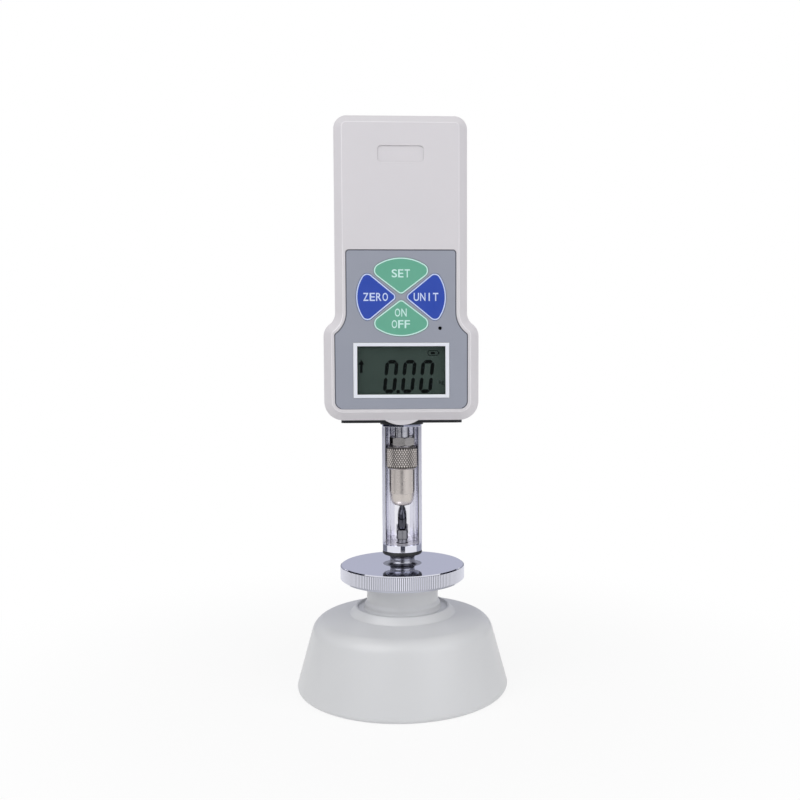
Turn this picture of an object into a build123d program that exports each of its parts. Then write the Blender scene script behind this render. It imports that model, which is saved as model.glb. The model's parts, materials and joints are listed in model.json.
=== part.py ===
from build123d import *
from math import cos, pi, radians, sin, tan
import os

# Grain hardness tester, in millimetres. The origin is the middle of the base's underside,
# +Z is up and the gauge faces -Y. A grain is put on the anvil, the handwheel lifts the anvil
# and presses the grain against the tip, and the gauge above reads the force that breaks it.

# Fits
run_gap = 0.05          # radial gap of a part that turns or slides in another
loose_gap = 0.2         # radial gap round a screw, a plunger or a fascia cut-out
play = 0.1              # end play of a turning part
touch_gap = 0.02        # gap that keeps a round ring just off its flat seat

# Base casting
foot_radius = 50.8      # the cone's radius carried down to the table
side_lean = 15.3        # degrees that the side leans in
foot_round = 1.8
shoulder_round = 7.5
deck_lean = 9.0         # degrees that the deck falls outwards
deck_height = 34.9      # deck height where it meets the collar
collar_foot_radius = 25.4
collar_crest_radius = 22.5
collar_crest_height = 38.2
groove_outer_radius = 21.3
groove_inner_radius = 18.6
groove_height = 37.2
bead_radius = 18.1      # small bead at the foot of the neck
bead_height = 1.2
neck_flare = 1.4
collar_edge = 0.5
groove_edge = 0.3
neck_radius = 17.1
neck_height = 49.9
web_thickness = 8.0     # web that carries the stem
web_clearance = 2.0     # between the handwheel's sleeve and the web
pocket_radius = 13.0    # pocket for the nut, open below
relief_radius = 42.0    # shallow relief, so that the casting rests on its rim
relief_depth = 1.2

# Handwheel
wheel_radius = 29.75
wheel_thickness = 7.6
wheel_under_edge = 1.2  # chamfer under the rim
knurl_count = 196
knurl_depth = 0.35
knurl_margin = 0.5      # plain chamfered land above the knurl
waist_height = 4.75     # waisted hub between the disc and the O-ring
waist_radius = 5.9
waist_foot_radius = 8.8
waist_top_radius = 8.2
sleeve_radius = 11.5    # threaded sleeve under the disc, inside the neck
sleeve_length = 27.5
sleeve_roof = 3.5       # web between the thread and the disc's underside
washer_thickness = 0.75
washer_radius = 16.4

# Lift
lift_thread_radius = 8.0
lift_ring_height = 7.0
lift_travel = 8.0
lift_reserve = 8.6      # thread left above the lift ring at the top of its travel
pin_radius = 1.25
stem_radius = 4.5
anvil_rod_radius = 2.3
anvil_radius = 2.75
anvil_height = 4.4
anvil_pocket_radius = 3.05
anvil_rise = 6.3        # cup rim above the column's floor, at the top of the travel
rod_tail = 2.6          # rod below the pin's axis
cup_radius = 2.42
cup_floor_radius = 0.5
cup_depth = 1.85

# Column
tube_radius = 9.5
tube_wall = 1.5
oring_section = 1.9
foot_plug_height = 3.2
plug_land = 0.45        # step in the foot that carries the O-ring
window_edge = 1.0       # how far in front of the axis the half tube is cut
window_round = 2.5
window_margin = 1.1     # between the window's top and the plate's boss
tube_insert = 5.5       # length of tube inside the plate's boss

# Stem fastening under the base
stem_nut_flats = 13.0
stem_nut_height = 6.5
stem_washer_radius = 9.0
stem_washer_thickness = 1.6
stem_proud = 0.7        # stem below its nut

# Gauge housing
gauge_height = 140.2
gauge_depth = 36.0
brow_half = 30.8        # half widths, from the top to the bottom
waist_half = 30.5
hip_half = 35.85
jaw_half = 35.65
hip_height = 42.2       # corner of the hips above the housing's bottom
shoulder_height = 46.3
top_round = 6.0
hip_round = 6.55
jaw_round = 8.8
bevel_width = 3.9
bevel_depth = 3.5
bevel_round = 0.7
back_round = 3.0
seam = 0.3              # small chamfer on both shells at the parting line
wall = 2.2
rim_wall = 5.5          # wall behind the bevel
rim_level = 13.0        # where the cavity steps in behind the bevel
front_wall = 2.2
lap_height = 1.0        # tongue of the front shell, inside the rear shell
lap_wall = 1.0          # rear shell's wall outside the tongue
lap_gap = 0.1
lip_half = 7.8          # half-round lip at the front shell's bottom
lip_drop = 2.3
lip_front = 14.5
lip_back = 12.4
badge_width = 21.1      # shallow recess near the top, left bare
badge_height = 7.6
badge_round = 1.8
badge_depth = 0.4
badge_drop = 18.36      # middle of the recess below the housing's top

# Fascia and keys
fascia_inset = 5.15     # from the housing's outline to the fascia's recess
fascia_height = 78.34   # top of the recess above the housing's bottom
fascia_corner = 1.6
fascia_depth = 1.0
fascia_thickness = 0.9
fascia_gap = 0.1
keys_rise = 56.64       # middle of the four keys above the housing's bottom
key_proud = 0.15        # keys stand this far in front of the fascia
key_thickness = 0.6
key_edge = 0.12
key_gap = 0.12
plunger_radius = 2.0
tall_apex = 0.85        # SET and ON/OFF keys: apex, corners and bowed edge, outwards from the middle
tall_corner_out = 12.0
tall_corner_side = 14.6
tall_reach = 18.1
tall_apex_round = 2.2
tall_corner_round = 3.4
wide_apex = 1.36        # ZERO and UNIT keys
wide_corner_out = 15.9
wide_corner_side = 12.0
wide_reach = 20.7
wide_apex_round = 2.0
wide_corner_round = 3.0
plunger_reach = 10.2    # distance from the middle of the keys to each plunger
sounder_x = 17.8
sounder_rise = 42.34
sounder_hole_radius = 0.85
sounder_radius = 4.5

# Display
display_rise = 22.99    # middle of the display above the housing's bottom
bezel_side = 1.75
bezel_edge = 1.55
bezel_proud = 0.15
glass_width = 40.5
glass_height = 22.2
glass_thickness = 1.2
window_air = 0.15       # between the window and the display module
glass_sink = 0.45       # the window lies this far behind the bezel's face
glass_gap = 0.05
glass_passage = 0.15    # gap between the window and the opening in the shell
module_flange = 2.0
module_gap = 0.05       # between the module's flange and the inside of the shell

# Mounting plate
plate_half = 28.3
plate_depth = 24.2
plate_thickness = 1.4
plate_corner = 3.0
boss_radius = 10.3
boss_drop = 1.1         # the boss reaches this far below the plate
spigot_radius = 12.5    # upper boss, inside the housing
spigot_height = 6.0
shaft_hole_radius = 4.2
plate_screw_x = 21.0
plate_screw_y = 6.0

# Sensor frame and load cell
frame_half = 26.0
frame_back = 12.0
frame_front = 10.0
frame_plate = 4.0
frame_arm = 7.0         # reach of the top arm in front of the axis
frame_spine = 3.5
spine_half = 20.0
cell_width = 30.0
cell_height = 44.0
cell_depth = 12.0
cell_slot = 2.5
cell_slot_shift = 6.0   # the two slots start from opposite sides
cell_slot_rise = 8.0
cell_thread = 9.0
cell_bore_radius = 5.0
cell_rise = 24.0        # underside of the load cell above the housing's bottom
bolt_head_height = 4.0
bolt_head_radius = 5.0
thread_radius = 3.0     # M6
thread_gap = 1.0        # between a thread's end and the bottom of its hole

# Circuit board, battery and socket
board_front = 11.6      # distance of the board's face in front of the parting plane
board_thickness = 1.6
board_half = 24.2
board_rise = 9.0
board_height = 68.4
post_radius = 2.6
post_edge = 3.0         # board outside a post's axis
post_inset = 4.2        # upper posts, from the board's side
ear_inset = 7.65        # lower posts, from the housing's side
ear_height = 7.0
switch_size = 6.0
switch_height = 3.0
button_radius = 1.6
button_height = 0.55
plunger_end = 15.6      # distance of the plungers' ends in front of the parting plane
sounder_height = 3.6
battery_width = 44.0
battery_height = 38.0
battery_depth = 12.0
battery_drop = 39.0     # middle of the battery below the housing's top
battery_round = 2.0
port_width = 11.0
port_height = 7.0
port_rise = 63.0
port_y = 8.5
port_round = 2.0
port_sink = 0.1         # cover's face behind the housing's side
port_grip = 1.2         # width and depth of the finger groove in the cover
port_grip_depth = 0.8
port_grip_shift = 3.7
socket_gap = 0.1        # between the socket and the inside of the wall
socket_margin = 0.5
socket_slot_width = 8.0
socket_slot_height = 3.0
socket_floor = 1.0
socket_depth = 5.0

# Small screws
screw_radius = 1.5
screw_head_radius = 2.9
screw_head_height = 2.2
case_boss_radius = 4.4
case_seat = 9.0         # seat of the case screws behind the parting plane
case_screw_length = 18.0
case_pilot_depth = 9.5
case_screw_inset = 6.2  # case screws, from the housing's side, top and bottom
case_screw_drop = 10.66
case_screw_rise = 11.44
hex_depth = 1.2
board_screw_length = 5.0

# Shaft, nut and chuck
shaft_radius = 3.5
nut_flats = 10.4
nut_height = 4.1
nut_turn = -15.0
nut_chamfer = 0.5
shaft_free = 5.16       # bare shaft between the nut and the top of the tube's window
thread_reach = 7.5      # shaft's thread inside the chuck
sleeve_top_gap = 0.2
knurled_radius = 7.5
knurled_length = 11.0
knurled_edge = 0.7
barrel_radius = 6.0
barrel_length = 11.7
nose_length = 5.8
nose_step = 0.25        # nose inside the barrel
nose_radius = 2.8
nose_lip = 0.4          # nose below the collet
chuck_core_radius = 5.0
collet_radius = 3.4
collet_tip_radius = 2.2
collet_cone = 4.8
collet_gap = 0.3        # between the collet and the chuck's body
collet_web = 2.5        # unslotted end of the collet
collet_length = 11.5
collet_slot = 0.5
shank_radius = 0.9
shank_gap = 0.2         # between the shank's end and the collet's
tip_sink = 1.3          # tip's lowest point below the anvil's rim
tip_radius = 2.15
tip_ball = 1.5
tip_ball_angle = 70.0   # degrees of the ball before the tip widens
tip_widest = 5.4        # height of the widest place above the tip's lowest point
tip_length = 10.9
tip_reach = 13.65       # collet's nose above the tip's lowest point

# Levels that follow from the sizes above: base and handwheel
wheel_bottom = neck_height + washer_thickness + touch_gap
wheel_top = wheel_bottom + wheel_thickness
waist_top = wheel_top + waist_height
thread_top = wheel_bottom - sleeve_roof
sleeve_bottom = wheel_bottom - sleeve_length
web_top = sleeve_bottom - web_clearance
web_under = web_top - web_thickness
nut_seat = web_under - stem_washer_thickness
stem_end = nut_seat - stem_nut_height - stem_proud
lift_ring_top = thread_top - lift_reserve
pin_level = lift_ring_top - lift_ring_height / 2
rod_end = pin_level - rod_tail

# Column, from its foot up to the anvil and the tip
column_seat = waist_top + play
tube_bottom = waist_top + oring_section + 2 * touch_gap
tube_bore_radius = tube_radius - tube_wall
column_floor = tube_bottom + foot_plug_height
anvil_top = column_floor + anvil_rise
anvil_bottom = anvil_top - anvil_height
tip_bottom = anvil_top - tip_sink

# Chuck, nut and shaft, from the tip up
collet_level = tip_bottom + tip_reach
cone_top = collet_level + collet_cone
collet_top = collet_level + collet_length
shank_top = collet_top - shank_gap
nose_bottom = collet_level - nose_lip
nose_top = nose_bottom + nose_length
barrel_top = nose_top + barrel_length
sleeve_top = barrel_top + knurled_length
nut_level = sleeve_top + sleeve_top_gap
nut_top = nut_level + nut_height
chuck_core_bottom = collet_top + collet_gap
shaft_thread_end = nut_level - thread_reach

# Plate and housing
window_top = nut_top + shaft_free
boss_bottom = window_top + window_margin
tube_top = boss_bottom + tube_insert
plate_bottom = boss_bottom + boss_drop
gauge_bottom = plate_bottom + plate_thickness
gauge_top = gauge_bottom + gauge_height
spigot_top = gauge_bottom + spigot_height
floor_inside = gauge_bottom + wall
half_depth = gauge_depth / 2
badge_level = gauge_top - badge_drop
fascia_top = gauge_bottom + fascia_height
keys_level = gauge_bottom + keys_rise
sounder_level = gauge_bottom + sounder_rise
bezel_level = gauge_bottom + display_rise
bezel_width = glass_width + 2 * bezel_side
bezel_height = glass_height + 2 * bezel_edge
cell_level = gauge_bottom + cell_rise
cell_top = cell_level + cell_height
board_bottom = gauge_bottom + board_rise
board_top = board_bottom + board_height
battery_level = gauge_top - battery_drop
port_level = gauge_bottom + port_rise
port_face = waist_half - port_sink
socket_face = waist_half - wall - socket_gap

# Levels in front of the parting plane
fascia_seat = half_depth - fascia_depth
fascia_face = fascia_seat + fascia_thickness
front_inside = half_depth - front_wall
key_face = fascia_face + key_proud
key_back = key_face - key_thickness
bezel_face = fascia_face + bezel_proud
glass_face = bezel_face - glass_sink
glass_back = glass_face - glass_thickness
board_back = board_front - board_thickness

# Screws, posts and keys
brow_screw_x = brow_half - case_screw_inset
jaw_screw_x = jaw_half - case_screw_inset
case_screw_places = [
    (-brow_screw_x, gauge_top - case_screw_drop),
    (brow_screw_x, gauge_top - case_screw_drop),
    (-jaw_screw_x, gauge_bottom + case_screw_rise),
    (jaw_screw_x, gauge_bottom + case_screw_rise),
]
ear_x = jaw_half - ear_inset
post_places = [
    (post_inset - board_half, board_top - post_edge),
    (board_half - post_inset, board_top - post_edge),
    (-ear_x, bezel_level),
    (ear_x, bezel_level),
]
tall_key = (tall_apex, tall_corner_out, tall_corner_side, tall_reach, tall_apex_round, tall_corner_round)
wide_key = (wide_apex, wide_corner_out, wide_corner_side, wide_reach, wide_apex_round, wide_corner_round)
keys = {
    "unit_key": (wide_key, 0),
    "set_key": (tall_key, 90),
    "zero_key": (wide_key, 180),
    "power_key": (tall_key, 270),
}
key_places = [
    (plunger_reach * cos(radians(turn)), keys_level + plunger_reach * sin(radians(turn)))
    for _, turn in keys.values()
]


def housing_face(inset=0.0):
    """Front outline of the housing, moved inwards by inset."""
    with BuildSketch() as face:
        with BuildLine() as edge:
            FilletPolyline(
                (0, gauge_top),
                (brow_half, gauge_top),
                (waist_half, gauge_bottom + shoulder_height),
                (hip_half, gauge_bottom + hip_height),
                (jaw_half, gauge_bottom),
                (0, gauge_bottom),
                radius=[top_round, hip_round, hip_round, jaw_round],
            )
            mirror(about=Plane.YZ)
        make_face()
        if inset:
            offset(amount=-inset, kind=Kind.INTERSECTION)
    return face.sketch


def fascia_outline(gap=0.0):
    """Outline of the fascia's recess, or of the fascia when gap is its clearance."""
    middle = (gauge_bottom + fascia_top - gap) / 2
    with BuildSketch() as face:
        add(housing_face(fascia_inset + gap))
        with Locations((0, middle)):
            Rectangle(2 * hip_half, fascia_top - gap - gauge_bottom, mode=Mode.INTERSECT)
        fillet(face.vertices().group_by(Axis.Y)[-1], radius=fascia_corner)
    return face.sketch


def cavity_face(inset, posts):
    """Section of the housing's cavity, leaving the screw bosses and, if asked, the board's posts."""
    with BuildSketch() as face:
        add(housing_face(inset))
        with Locations(*case_screw_places):
            Circle(case_boss_radius, mode=Mode.SUBTRACT)
        if posts:
            with Locations(*post_places):
                Circle(post_radius, mode=Mode.SUBTRACT)
    return face.sketch


def floor_holes():
    """Holes in the housing's floor for the mounting plate's spigot and screws."""
    with BuildPart() as holes:
        with BuildSketch(Plane.XY.offset(gauge_bottom)):
            Circle(spigot_radius + lap_gap)
            with GridLocations(2 * plate_screw_x, 2 * plate_screw_y, 2, 2):
                Circle(screw_radius + loose_gap)
        extrude(amount=wall)
    return holes.part


def petal(shape, turn, grow=0.0):
    """Key outline: two straight sides from a rounded apex and a bowed outer edge."""
    apex, out, side, reach, apex_round, corner_round = shape
    with BuildSketch(Plane((0, keys_level, 0))) as face:
        with BuildLine():
            Line((apex, 0), (out, side))
            ThreePointArc((out, side), (reach, 0), (out, -side))
            Line((out, -side), (apex, 0))
        make_face()
        fillet(face.vertices().sort_by(Axis.X)[-2:], radius=corner_round)
        fillet(face.vertices().sort_by(Axis.X)[0], radius=apex_round)
        if grow:
            offset(amount=grow, kind=Kind.INTERSECTION)
    return face.sketch.rotate(Axis((0, keys_level, 0), (0, 0, 1)), turn)


def front(level):
    """Drawing plane that faces the viewer, level millimetres in front of the parting plane."""
    return Plane.XZ.offset(level)


def finish(piece, name):
    """Label a piece and write it to its own file."""
    piece.part.label = name
    export_step(piece.part, f"parts/{name}.step")


os.makedirs("parts", exist_ok=True)

# Base: a heavy conical casting with a stepped collar and a neck that carries the handwheel
lean = tan(radians(side_lean))
fall = tan(radians(deck_lean))
shoulder_z = (deck_height + fall * (collar_foot_radius - foot_radius)) / (1 - fall * lean)
with BuildPart() as base_casting:
    with BuildSketch(Plane.XZ):
        with BuildLine():
            FilletPolyline(
                (0, 0),
                (foot_radius, 0),
                (foot_radius - lean * shoulder_z, shoulder_z),
                (collar_foot_radius, deck_height),
                (collar_crest_radius + collar_edge, collar_crest_height - collar_edge),
                (collar_crest_radius, collar_crest_height),
                (groove_outer_radius + groove_edge, collar_crest_height),
                (groove_outer_radius, groove_height),
                (groove_inner_radius, groove_height),
                (bead_radius, groove_height + bead_height),
                (bead_radius, groove_height + 2 * bead_height),
                (neck_radius, groove_height + 2 * bead_height + neck_flare),
                (neck_radius, neck_height),
                (0, neck_height),
                radius=[foot_round, shoulder_round, 0, 0, 0, 0, 0, 0, 0, 0, 0, 0],
            )
            Line((0, neck_height), (0, 0))
        make_face()
    revolve(axis=Axis.Z)
    with BuildSketch(Plane.XY):
        Circle(relief_radius)
    extrude(amount=relief_depth, mode=Mode.SUBTRACT)
    with BuildSketch(Plane.XY):
        Circle(pocket_radius)
    extrude(amount=web_under, mode=Mode.SUBTRACT)
    with BuildSketch(Plane.XY.offset(web_under)):
        Circle(stem_radius)
    extrude(amount=web_thickness, mode=Mode.SUBTRACT)
    with BuildSketch(Plane.XY.offset(web_top)):
        Circle(sleeve_radius + run_gap)
    extrude(amount=neck_height - web_top, mode=Mode.SUBTRACT)
finish(base_casting, "base_casting")

with BuildPart() as thrust_washer:
    with BuildSketch(Plane.XY.offset(neck_height)):
        Circle(washer_radius)
        Circle(sleeve_radius + run_gap, mode=Mode.SUBTRACT)
    extrude(amount=washer_thickness)
finish(thrust_washer, "thrust_washer")

# Handwheel: knurled disc, waisted hub above it and a threaded sleeve below it
tooth = 2 * pi / knurl_count
knurl_points = []
for i in range(knurl_count):
    knurl_points.append((wheel_radius * cos(i * tooth), wheel_radius * sin(i * tooth)))
    root = wheel_radius - knurl_depth
    knurl_points.append((root * cos((i + 0.5) * tooth), root * sin((i + 0.5) * tooth)))
land_radius = wheel_radius - knurl_depth
with BuildPart() as handwheel:
    with BuildSketch(Plane.XY.offset(wheel_bottom + wheel_under_edge)):
        with BuildLine():
            Polyline(*knurl_points, close=True)
        make_face()
    extrude(amount=wheel_thickness - knurl_margin - wheel_under_edge)
    with BuildSketch(Plane.XZ):
        with BuildLine():
            Polyline(
                (stem_radius + run_gap, waist_top),
                (stem_radius + run_gap, thread_top),
                (lift_thread_radius, thread_top),
                (lift_thread_radius, sleeve_bottom),
                (sleeve_radius, sleeve_bottom),
                (sleeve_radius, wheel_bottom),
                (land_radius - wheel_under_edge, wheel_bottom),
                (land_radius, wheel_bottom + wheel_under_edge),
                (land_radius, wheel_top - knurl_margin),
                (land_radius - knurl_margin, wheel_top),
                (waist_foot_radius, wheel_top),
            )
            ThreePointArc(
                (waist_foot_radius, wheel_top),
                (waist_radius, wheel_top + 0.55 * waist_height),
                (waist_top_radius, waist_top),
            )
            Line((waist_top_radius, waist_top), (stem_radius + run_gap, waist_top))
        make_face()
    revolve(axis=Axis.Z)
    with BuildSketch(Plane.XY.offset(sleeve_bottom)):
        Circle(lift_thread_radius)
    extrude(amount=thread_top - sleeve_bottom, mode=Mode.SUBTRACT)
    with BuildSketch(Plane.XY.offset(thread_top)):
        Circle(stem_radius + run_gap)
    extrude(amount=waist_top - thread_top, mode=Mode.SUBTRACT)
finish(handwheel, "handwheel")

# Column foot: plug in the tube, with a slotted stem that runs down through the handwheel
with BuildPart() as column_foot:
    with BuildSketch(Plane.XZ):
        with BuildLine():
            Polyline(
                (0, stem_end),
                (stem_radius, stem_end),
                (stem_radius, column_seat),
                (tube_bore_radius - plug_land, column_seat),
                (tube_bore_radius - plug_land, tube_bottom),
                (tube_bore_radius, tube_bottom),
                (tube_bore_radius, column_floor),
                (0, column_floor),
                close=True,
            )
        make_face()
    revolve(axis=Axis.Z)
    with BuildSketch(Plane.XY.offset(column_floor)):
        Circle(anvil_pocket_radius)
    extrude(amount=-(column_floor - anvil_bottom + lift_travel + 0.3), mode=Mode.SUBTRACT)
    with BuildSketch(Plane.XY.offset(web_top)):
        Circle(anvil_rod_radius + run_gap)
    extrude(amount=column_floor - web_top, mode=Mode.SUBTRACT)
    slot_height = lift_travel + 2 * (pin_radius + loose_gap)
    with BuildSketch(Plane.YZ.offset(-stem_radius - 1)):
        with Locations((0, pin_level - lift_travel / 2)):
            SlotOverall(slot_height, 2 * (pin_radius + run_gap), rotation=90)
    extrude(amount=2 * stem_radius + 2, mode=Mode.SUBTRACT)
finish(column_foot, "column_foot")

with BuildPart() as stem_washer:
    with BuildSketch(Plane.XY.offset(web_under)):
        Circle(stem_washer_radius)
        Circle(stem_radius, mode=Mode.SUBTRACT)
    extrude(amount=-stem_washer_thickness)
finish(stem_washer, "stem_washer")

with BuildPart() as stem_nut:
    with BuildSketch(Plane.XY.offset(nut_seat)):
        RegularPolygon(stem_nut_flats / 2, 6, major_radius=False)
        Circle(stem_radius, mode=Mode.SUBTRACT)
    extrude(amount=-stem_nut_height)
finish(stem_nut, "stem_nut")

with BuildPart() as oring:
    ring_inside = tube_bore_radius - plug_land + touch_gap
    ring_middle = tube_radius - oring_section / 2
    ring_bottom = waist_top + touch_gap
    ring_top = ring_bottom + oring_section
    with BuildSketch(Plane.XZ):
        with BuildLine():
            Line((ring_middle, ring_top), (ring_inside, ring_top))
            Line((ring_inside, ring_top), (ring_inside, ring_bottom))
            Line((ring_inside, ring_bottom), (ring_middle, ring_bottom))
            ThreePointArc(
                (ring_middle, ring_bottom),
                (tube_radius, (ring_bottom + ring_top) / 2),
                (ring_middle, ring_top),
            )
        make_face()
    revolve(axis=Axis.Z)
finish(oring, "column_oring")

# Lift: the ring is threaded in the sleeve and pinned through the stem's slots to the anvil
with BuildPart() as lift_ring:
    with BuildSketch(Plane.XY.offset(lift_ring_top)):
        Circle(lift_thread_radius - run_gap)
        Circle(stem_radius + run_gap, mode=Mode.SUBTRACT)
    extrude(amount=-lift_ring_height)
    with BuildSketch(Plane.YZ.offset(-lift_thread_radius)):
        with Locations((0, pin_level)):
            Circle(pin_radius)
    extrude(amount=2 * lift_thread_radius, mode=Mode.SUBTRACT)
finish(lift_ring, "lift_ring")

with BuildPart() as cross_pin:
    with BuildSketch(Plane.YZ.offset(-lift_thread_radius + 0.5)):
        with Locations((0, pin_level)):
            Circle(pin_radius)
    extrude(amount=2 * lift_thread_radius - 1)
finish(cross_pin, "cross_pin")

with BuildPart() as anvil:
    with BuildSketch(Plane.XZ):
        with BuildLine():
            Polyline(
                (0, rod_end),
                (anvil_rod_radius - 0.3, rod_end),
                (anvil_rod_radius, rod_end + 0.3),
                (anvil_rod_radius, anvil_bottom),
                (anvil_radius - 0.3, anvil_bottom),
                (anvil_radius, anvil_bottom + 0.3),
                (anvil_radius, anvil_top - 0.15),
                (anvil_radius - 0.15, anvil_top),
                (cup_radius, anvil_top),
                (cup_floor_radius, anvil_top - cup_depth),
                (0, anvil_top - cup_depth),
                close=True,
            )
        make_face()
    revolve(axis=Axis.Z)
    with BuildSketch(Plane.YZ.offset(-anvil_radius)):
        with Locations((0, pin_level)):
            Circle(pin_radius)
    extrude(amount=2 * anvil_radius, mode=Mode.SUBTRACT)
finish(anvil, "anvil")

# Column tube: closed ring below, half tube open to the front above it
with BuildPart() as column_tube:
    with BuildSketch(Plane.XY.offset(tube_bottom)):
        Circle(tube_radius)
        Circle(tube_bore_radius, mode=Mode.SUBTRACT)
    extrude(amount=tube_top - tube_bottom)
    with BuildSketch(front(window_edge)):
        with Locations((0, (column_floor + window_top) / 2)):
            RectangleRounded(2 * tube_radius + 2 * window_round, window_top - column_floor, window_round)
    extrude(amount=tube_radius, mode=Mode.SUBTRACT)
finish(column_tube, "column_tube")

# Mounting plate: thin plate, boss round the tube and spigot inside the housing
with BuildPart() as mounting_plate:
    with BuildSketch(Plane.XY.offset(plate_bottom)):
        RectangleRounded(2 * plate_half, plate_depth, plate_corner)
    extrude(amount=plate_thickness)
    with BuildSketch(Plane.XY.offset(boss_bottom)):
        Circle(boss_radius)
    extrude(amount=boss_drop)
    with BuildSketch(Plane.XY.offset(gauge_bottom)):
        Circle(spigot_radius)
    extrude(amount=spigot_height)
    with BuildSketch(Plane.XY.offset(boss_bottom)):
        Circle(tube_radius)
    extrude(amount=tube_insert, mode=Mode.SUBTRACT)
    with BuildSketch(Plane.XY.offset(boss_bottom)):
        Circle(shaft_hole_radius)
    extrude(amount=spigot_top - boss_bottom, mode=Mode.SUBTRACT)
    with Locations(Plane.XY.offset(plate_bottom)):
        with GridLocations(2 * plate_screw_x, 2 * plate_screw_y, 2, 2):
            Cone(screw_head_radius, screw_radius, plate_thickness,
                 align=(Align.CENTER, Align.CENTER, Align.MIN), mode=Mode.SUBTRACT)
finish(mounting_plate, "mounting_plate")

with BuildPart() as plate_screws:
    with Locations(Plane.XY.offset(plate_bottom)):
        with GridLocations(2 * plate_screw_x, 2 * plate_screw_y, 2, 2):
            Cone(screw_head_radius, screw_radius, plate_thickness,
                 align=(Align.CENTER, Align.CENTER, Align.MIN))
            Cylinder(screw_radius, floor_inside + frame_plate - plate_bottom,
                     align=(Align.CENTER, Align.CENTER, Align.MIN))
finish(plate_screws, "plate_screws")

# Gauge housing: front shell with its bevel, lip and recesses, and rear shell
with BuildPart() as front_shell:
    with BuildSketch(front(0)):
        add(housing_face())
    extrude(amount=half_depth)
    chamfer(front_shell.faces().sort_by(Axis.Y)[-1].edges(), length=seam)
    front_face = front_shell.faces().sort_by(Axis.Y)[0]
    chamfer(front_face.edges(), length=bevel_width, length2=bevel_depth, reference=front_face)
    fillet(front_shell.faces().sort_by(Axis.Y)[0].edges(), radius=bevel_round)
    with BuildSketch(front(lip_back)):
        with BuildLine():
            ThreePointArc((-lip_half, gauge_bottom), (0, gauge_bottom - lip_drop), (lip_half, gauge_bottom))
            Polyline(
                (lip_half, gauge_bottom),
                (lip_half, floor_inside),
                (-lip_half, floor_inside),
                (-lip_half, gauge_bottom),
            )
        make_face()
    extrude(amount=lip_front - lip_back)
    with BuildSketch(front(0)):
        add(cavity_face(wall, posts=False))
    extrude(amount=board_front, mode=Mode.SUBTRACT)
    with BuildSketch(front(board_front)):
        add(cavity_face(wall, posts=True))
    extrude(amount=rim_level - board_front, mode=Mode.SUBTRACT)
    with BuildSketch(front(rim_level)):
        add(cavity_face(rim_wall, posts=True))
    extrude(amount=front_inside - rim_level, mode=Mode.SUBTRACT)
    with BuildSketch(front(0)):
        add(housing_face(lap_wall + lap_gap))
        add(housing_face(wall), mode=Mode.SUBTRACT)
    extrude(amount=-lap_height)
    with BuildSketch(front(half_depth)):
        add(fascia_outline())
    extrude(amount=-fascia_depth, mode=Mode.SUBTRACT)
    with BuildSketch(front(half_depth)):
        with Locations((0, badge_level)):
            RectangleRounded(badge_width, badge_height, badge_round)
    extrude(amount=-badge_depth, mode=Mode.SUBTRACT)
    with BuildSketch(front(half_depth)):
        with Locations((0, bezel_level)):
            Rectangle(glass_width + 2 * glass_passage, glass_height + 2 * glass_passage)
        with Locations(*key_places):
            Circle(plunger_radius + loose_gap)
        with Locations((sounder_x, sounder_level)):
            Circle(sounder_hole_radius)
    extrude(amount=-(half_depth - front_inside), mode=Mode.SUBTRACT)
    with BuildSketch(front(0)):
        with Locations(*case_screw_places):
            Circle(screw_radius)
    extrude(amount=case_pilot_depth, mode=Mode.SUBTRACT)
    with BuildSketch(front(board_front)):
        with Locations(*post_places):
            Circle(screw_radius)
    extrude(amount=board_screw_length - board_thickness, mode=Mode.SUBTRACT)
    add(floor_holes(), mode=Mode.SUBTRACT)
finish(front_shell, "front_shell")

with BuildPart() as rear_shell:
    with BuildSketch(front(0)):
        add(housing_face())
    extrude(amount=-half_depth)
    chamfer(rear_shell.faces().sort_by(Axis.Y)[0].edges(), length=seam)
    fillet(rear_shell.faces().sort_by(Axis.Y)[-1].edges(), radius=back_round)
    with BuildSketch(front(0)):
        add(cavity_face(wall, posts=False))
    extrude(amount=-(half_depth - wall), mode=Mode.SUBTRACT)
    with BuildSketch(front(0)):
        add(housing_face(lap_wall))
        add(housing_face(wall), mode=Mode.SUBTRACT)
    extrude(amount=-(lap_height + lap_gap), mode=Mode.SUBTRACT)
    with BuildSketch(front(0)):
        with Locations(*case_screw_places):
            Circle(screw_radius + loose_gap)
    extrude(amount=-case_seat, mode=Mode.SUBTRACT)
    with BuildSketch(front(-case_seat)):
        with Locations(*case_screw_places):
            Circle(screw_head_radius + loose_gap)
    extrude(amount=case_seat - half_depth, mode=Mode.SUBTRACT)
    with BuildSketch(Plane.YZ.offset(socket_face)):
        with Locations((port_y, port_level)):
            RectangleRounded(port_width, port_height, port_round)
    extrude(amount=hip_half - socket_face, mode=Mode.SUBTRACT)
    add(floor_holes(), mode=Mode.SUBTRACT)
finish(rear_shell, "rear_shell")

with BuildPart() as case_screws:
    with BuildSketch(front(-case_seat)):
        with Locations(*case_screw_places):
            Circle(screw_radius)
    extrude(amount=case_screw_length)
    with BuildSketch(front(-case_seat)):
        with Locations(*case_screw_places):
            Circle(screw_head_radius)
    extrude(amount=-screw_head_height)
    with BuildSketch(front(-case_seat - screw_head_height)):
        with Locations(*case_screw_places):
            RegularPolygon(screw_radius, 6)
    extrude(amount=hex_depth, mode=Mode.SUBTRACT)
finish(case_screws, "case_screws")

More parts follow.
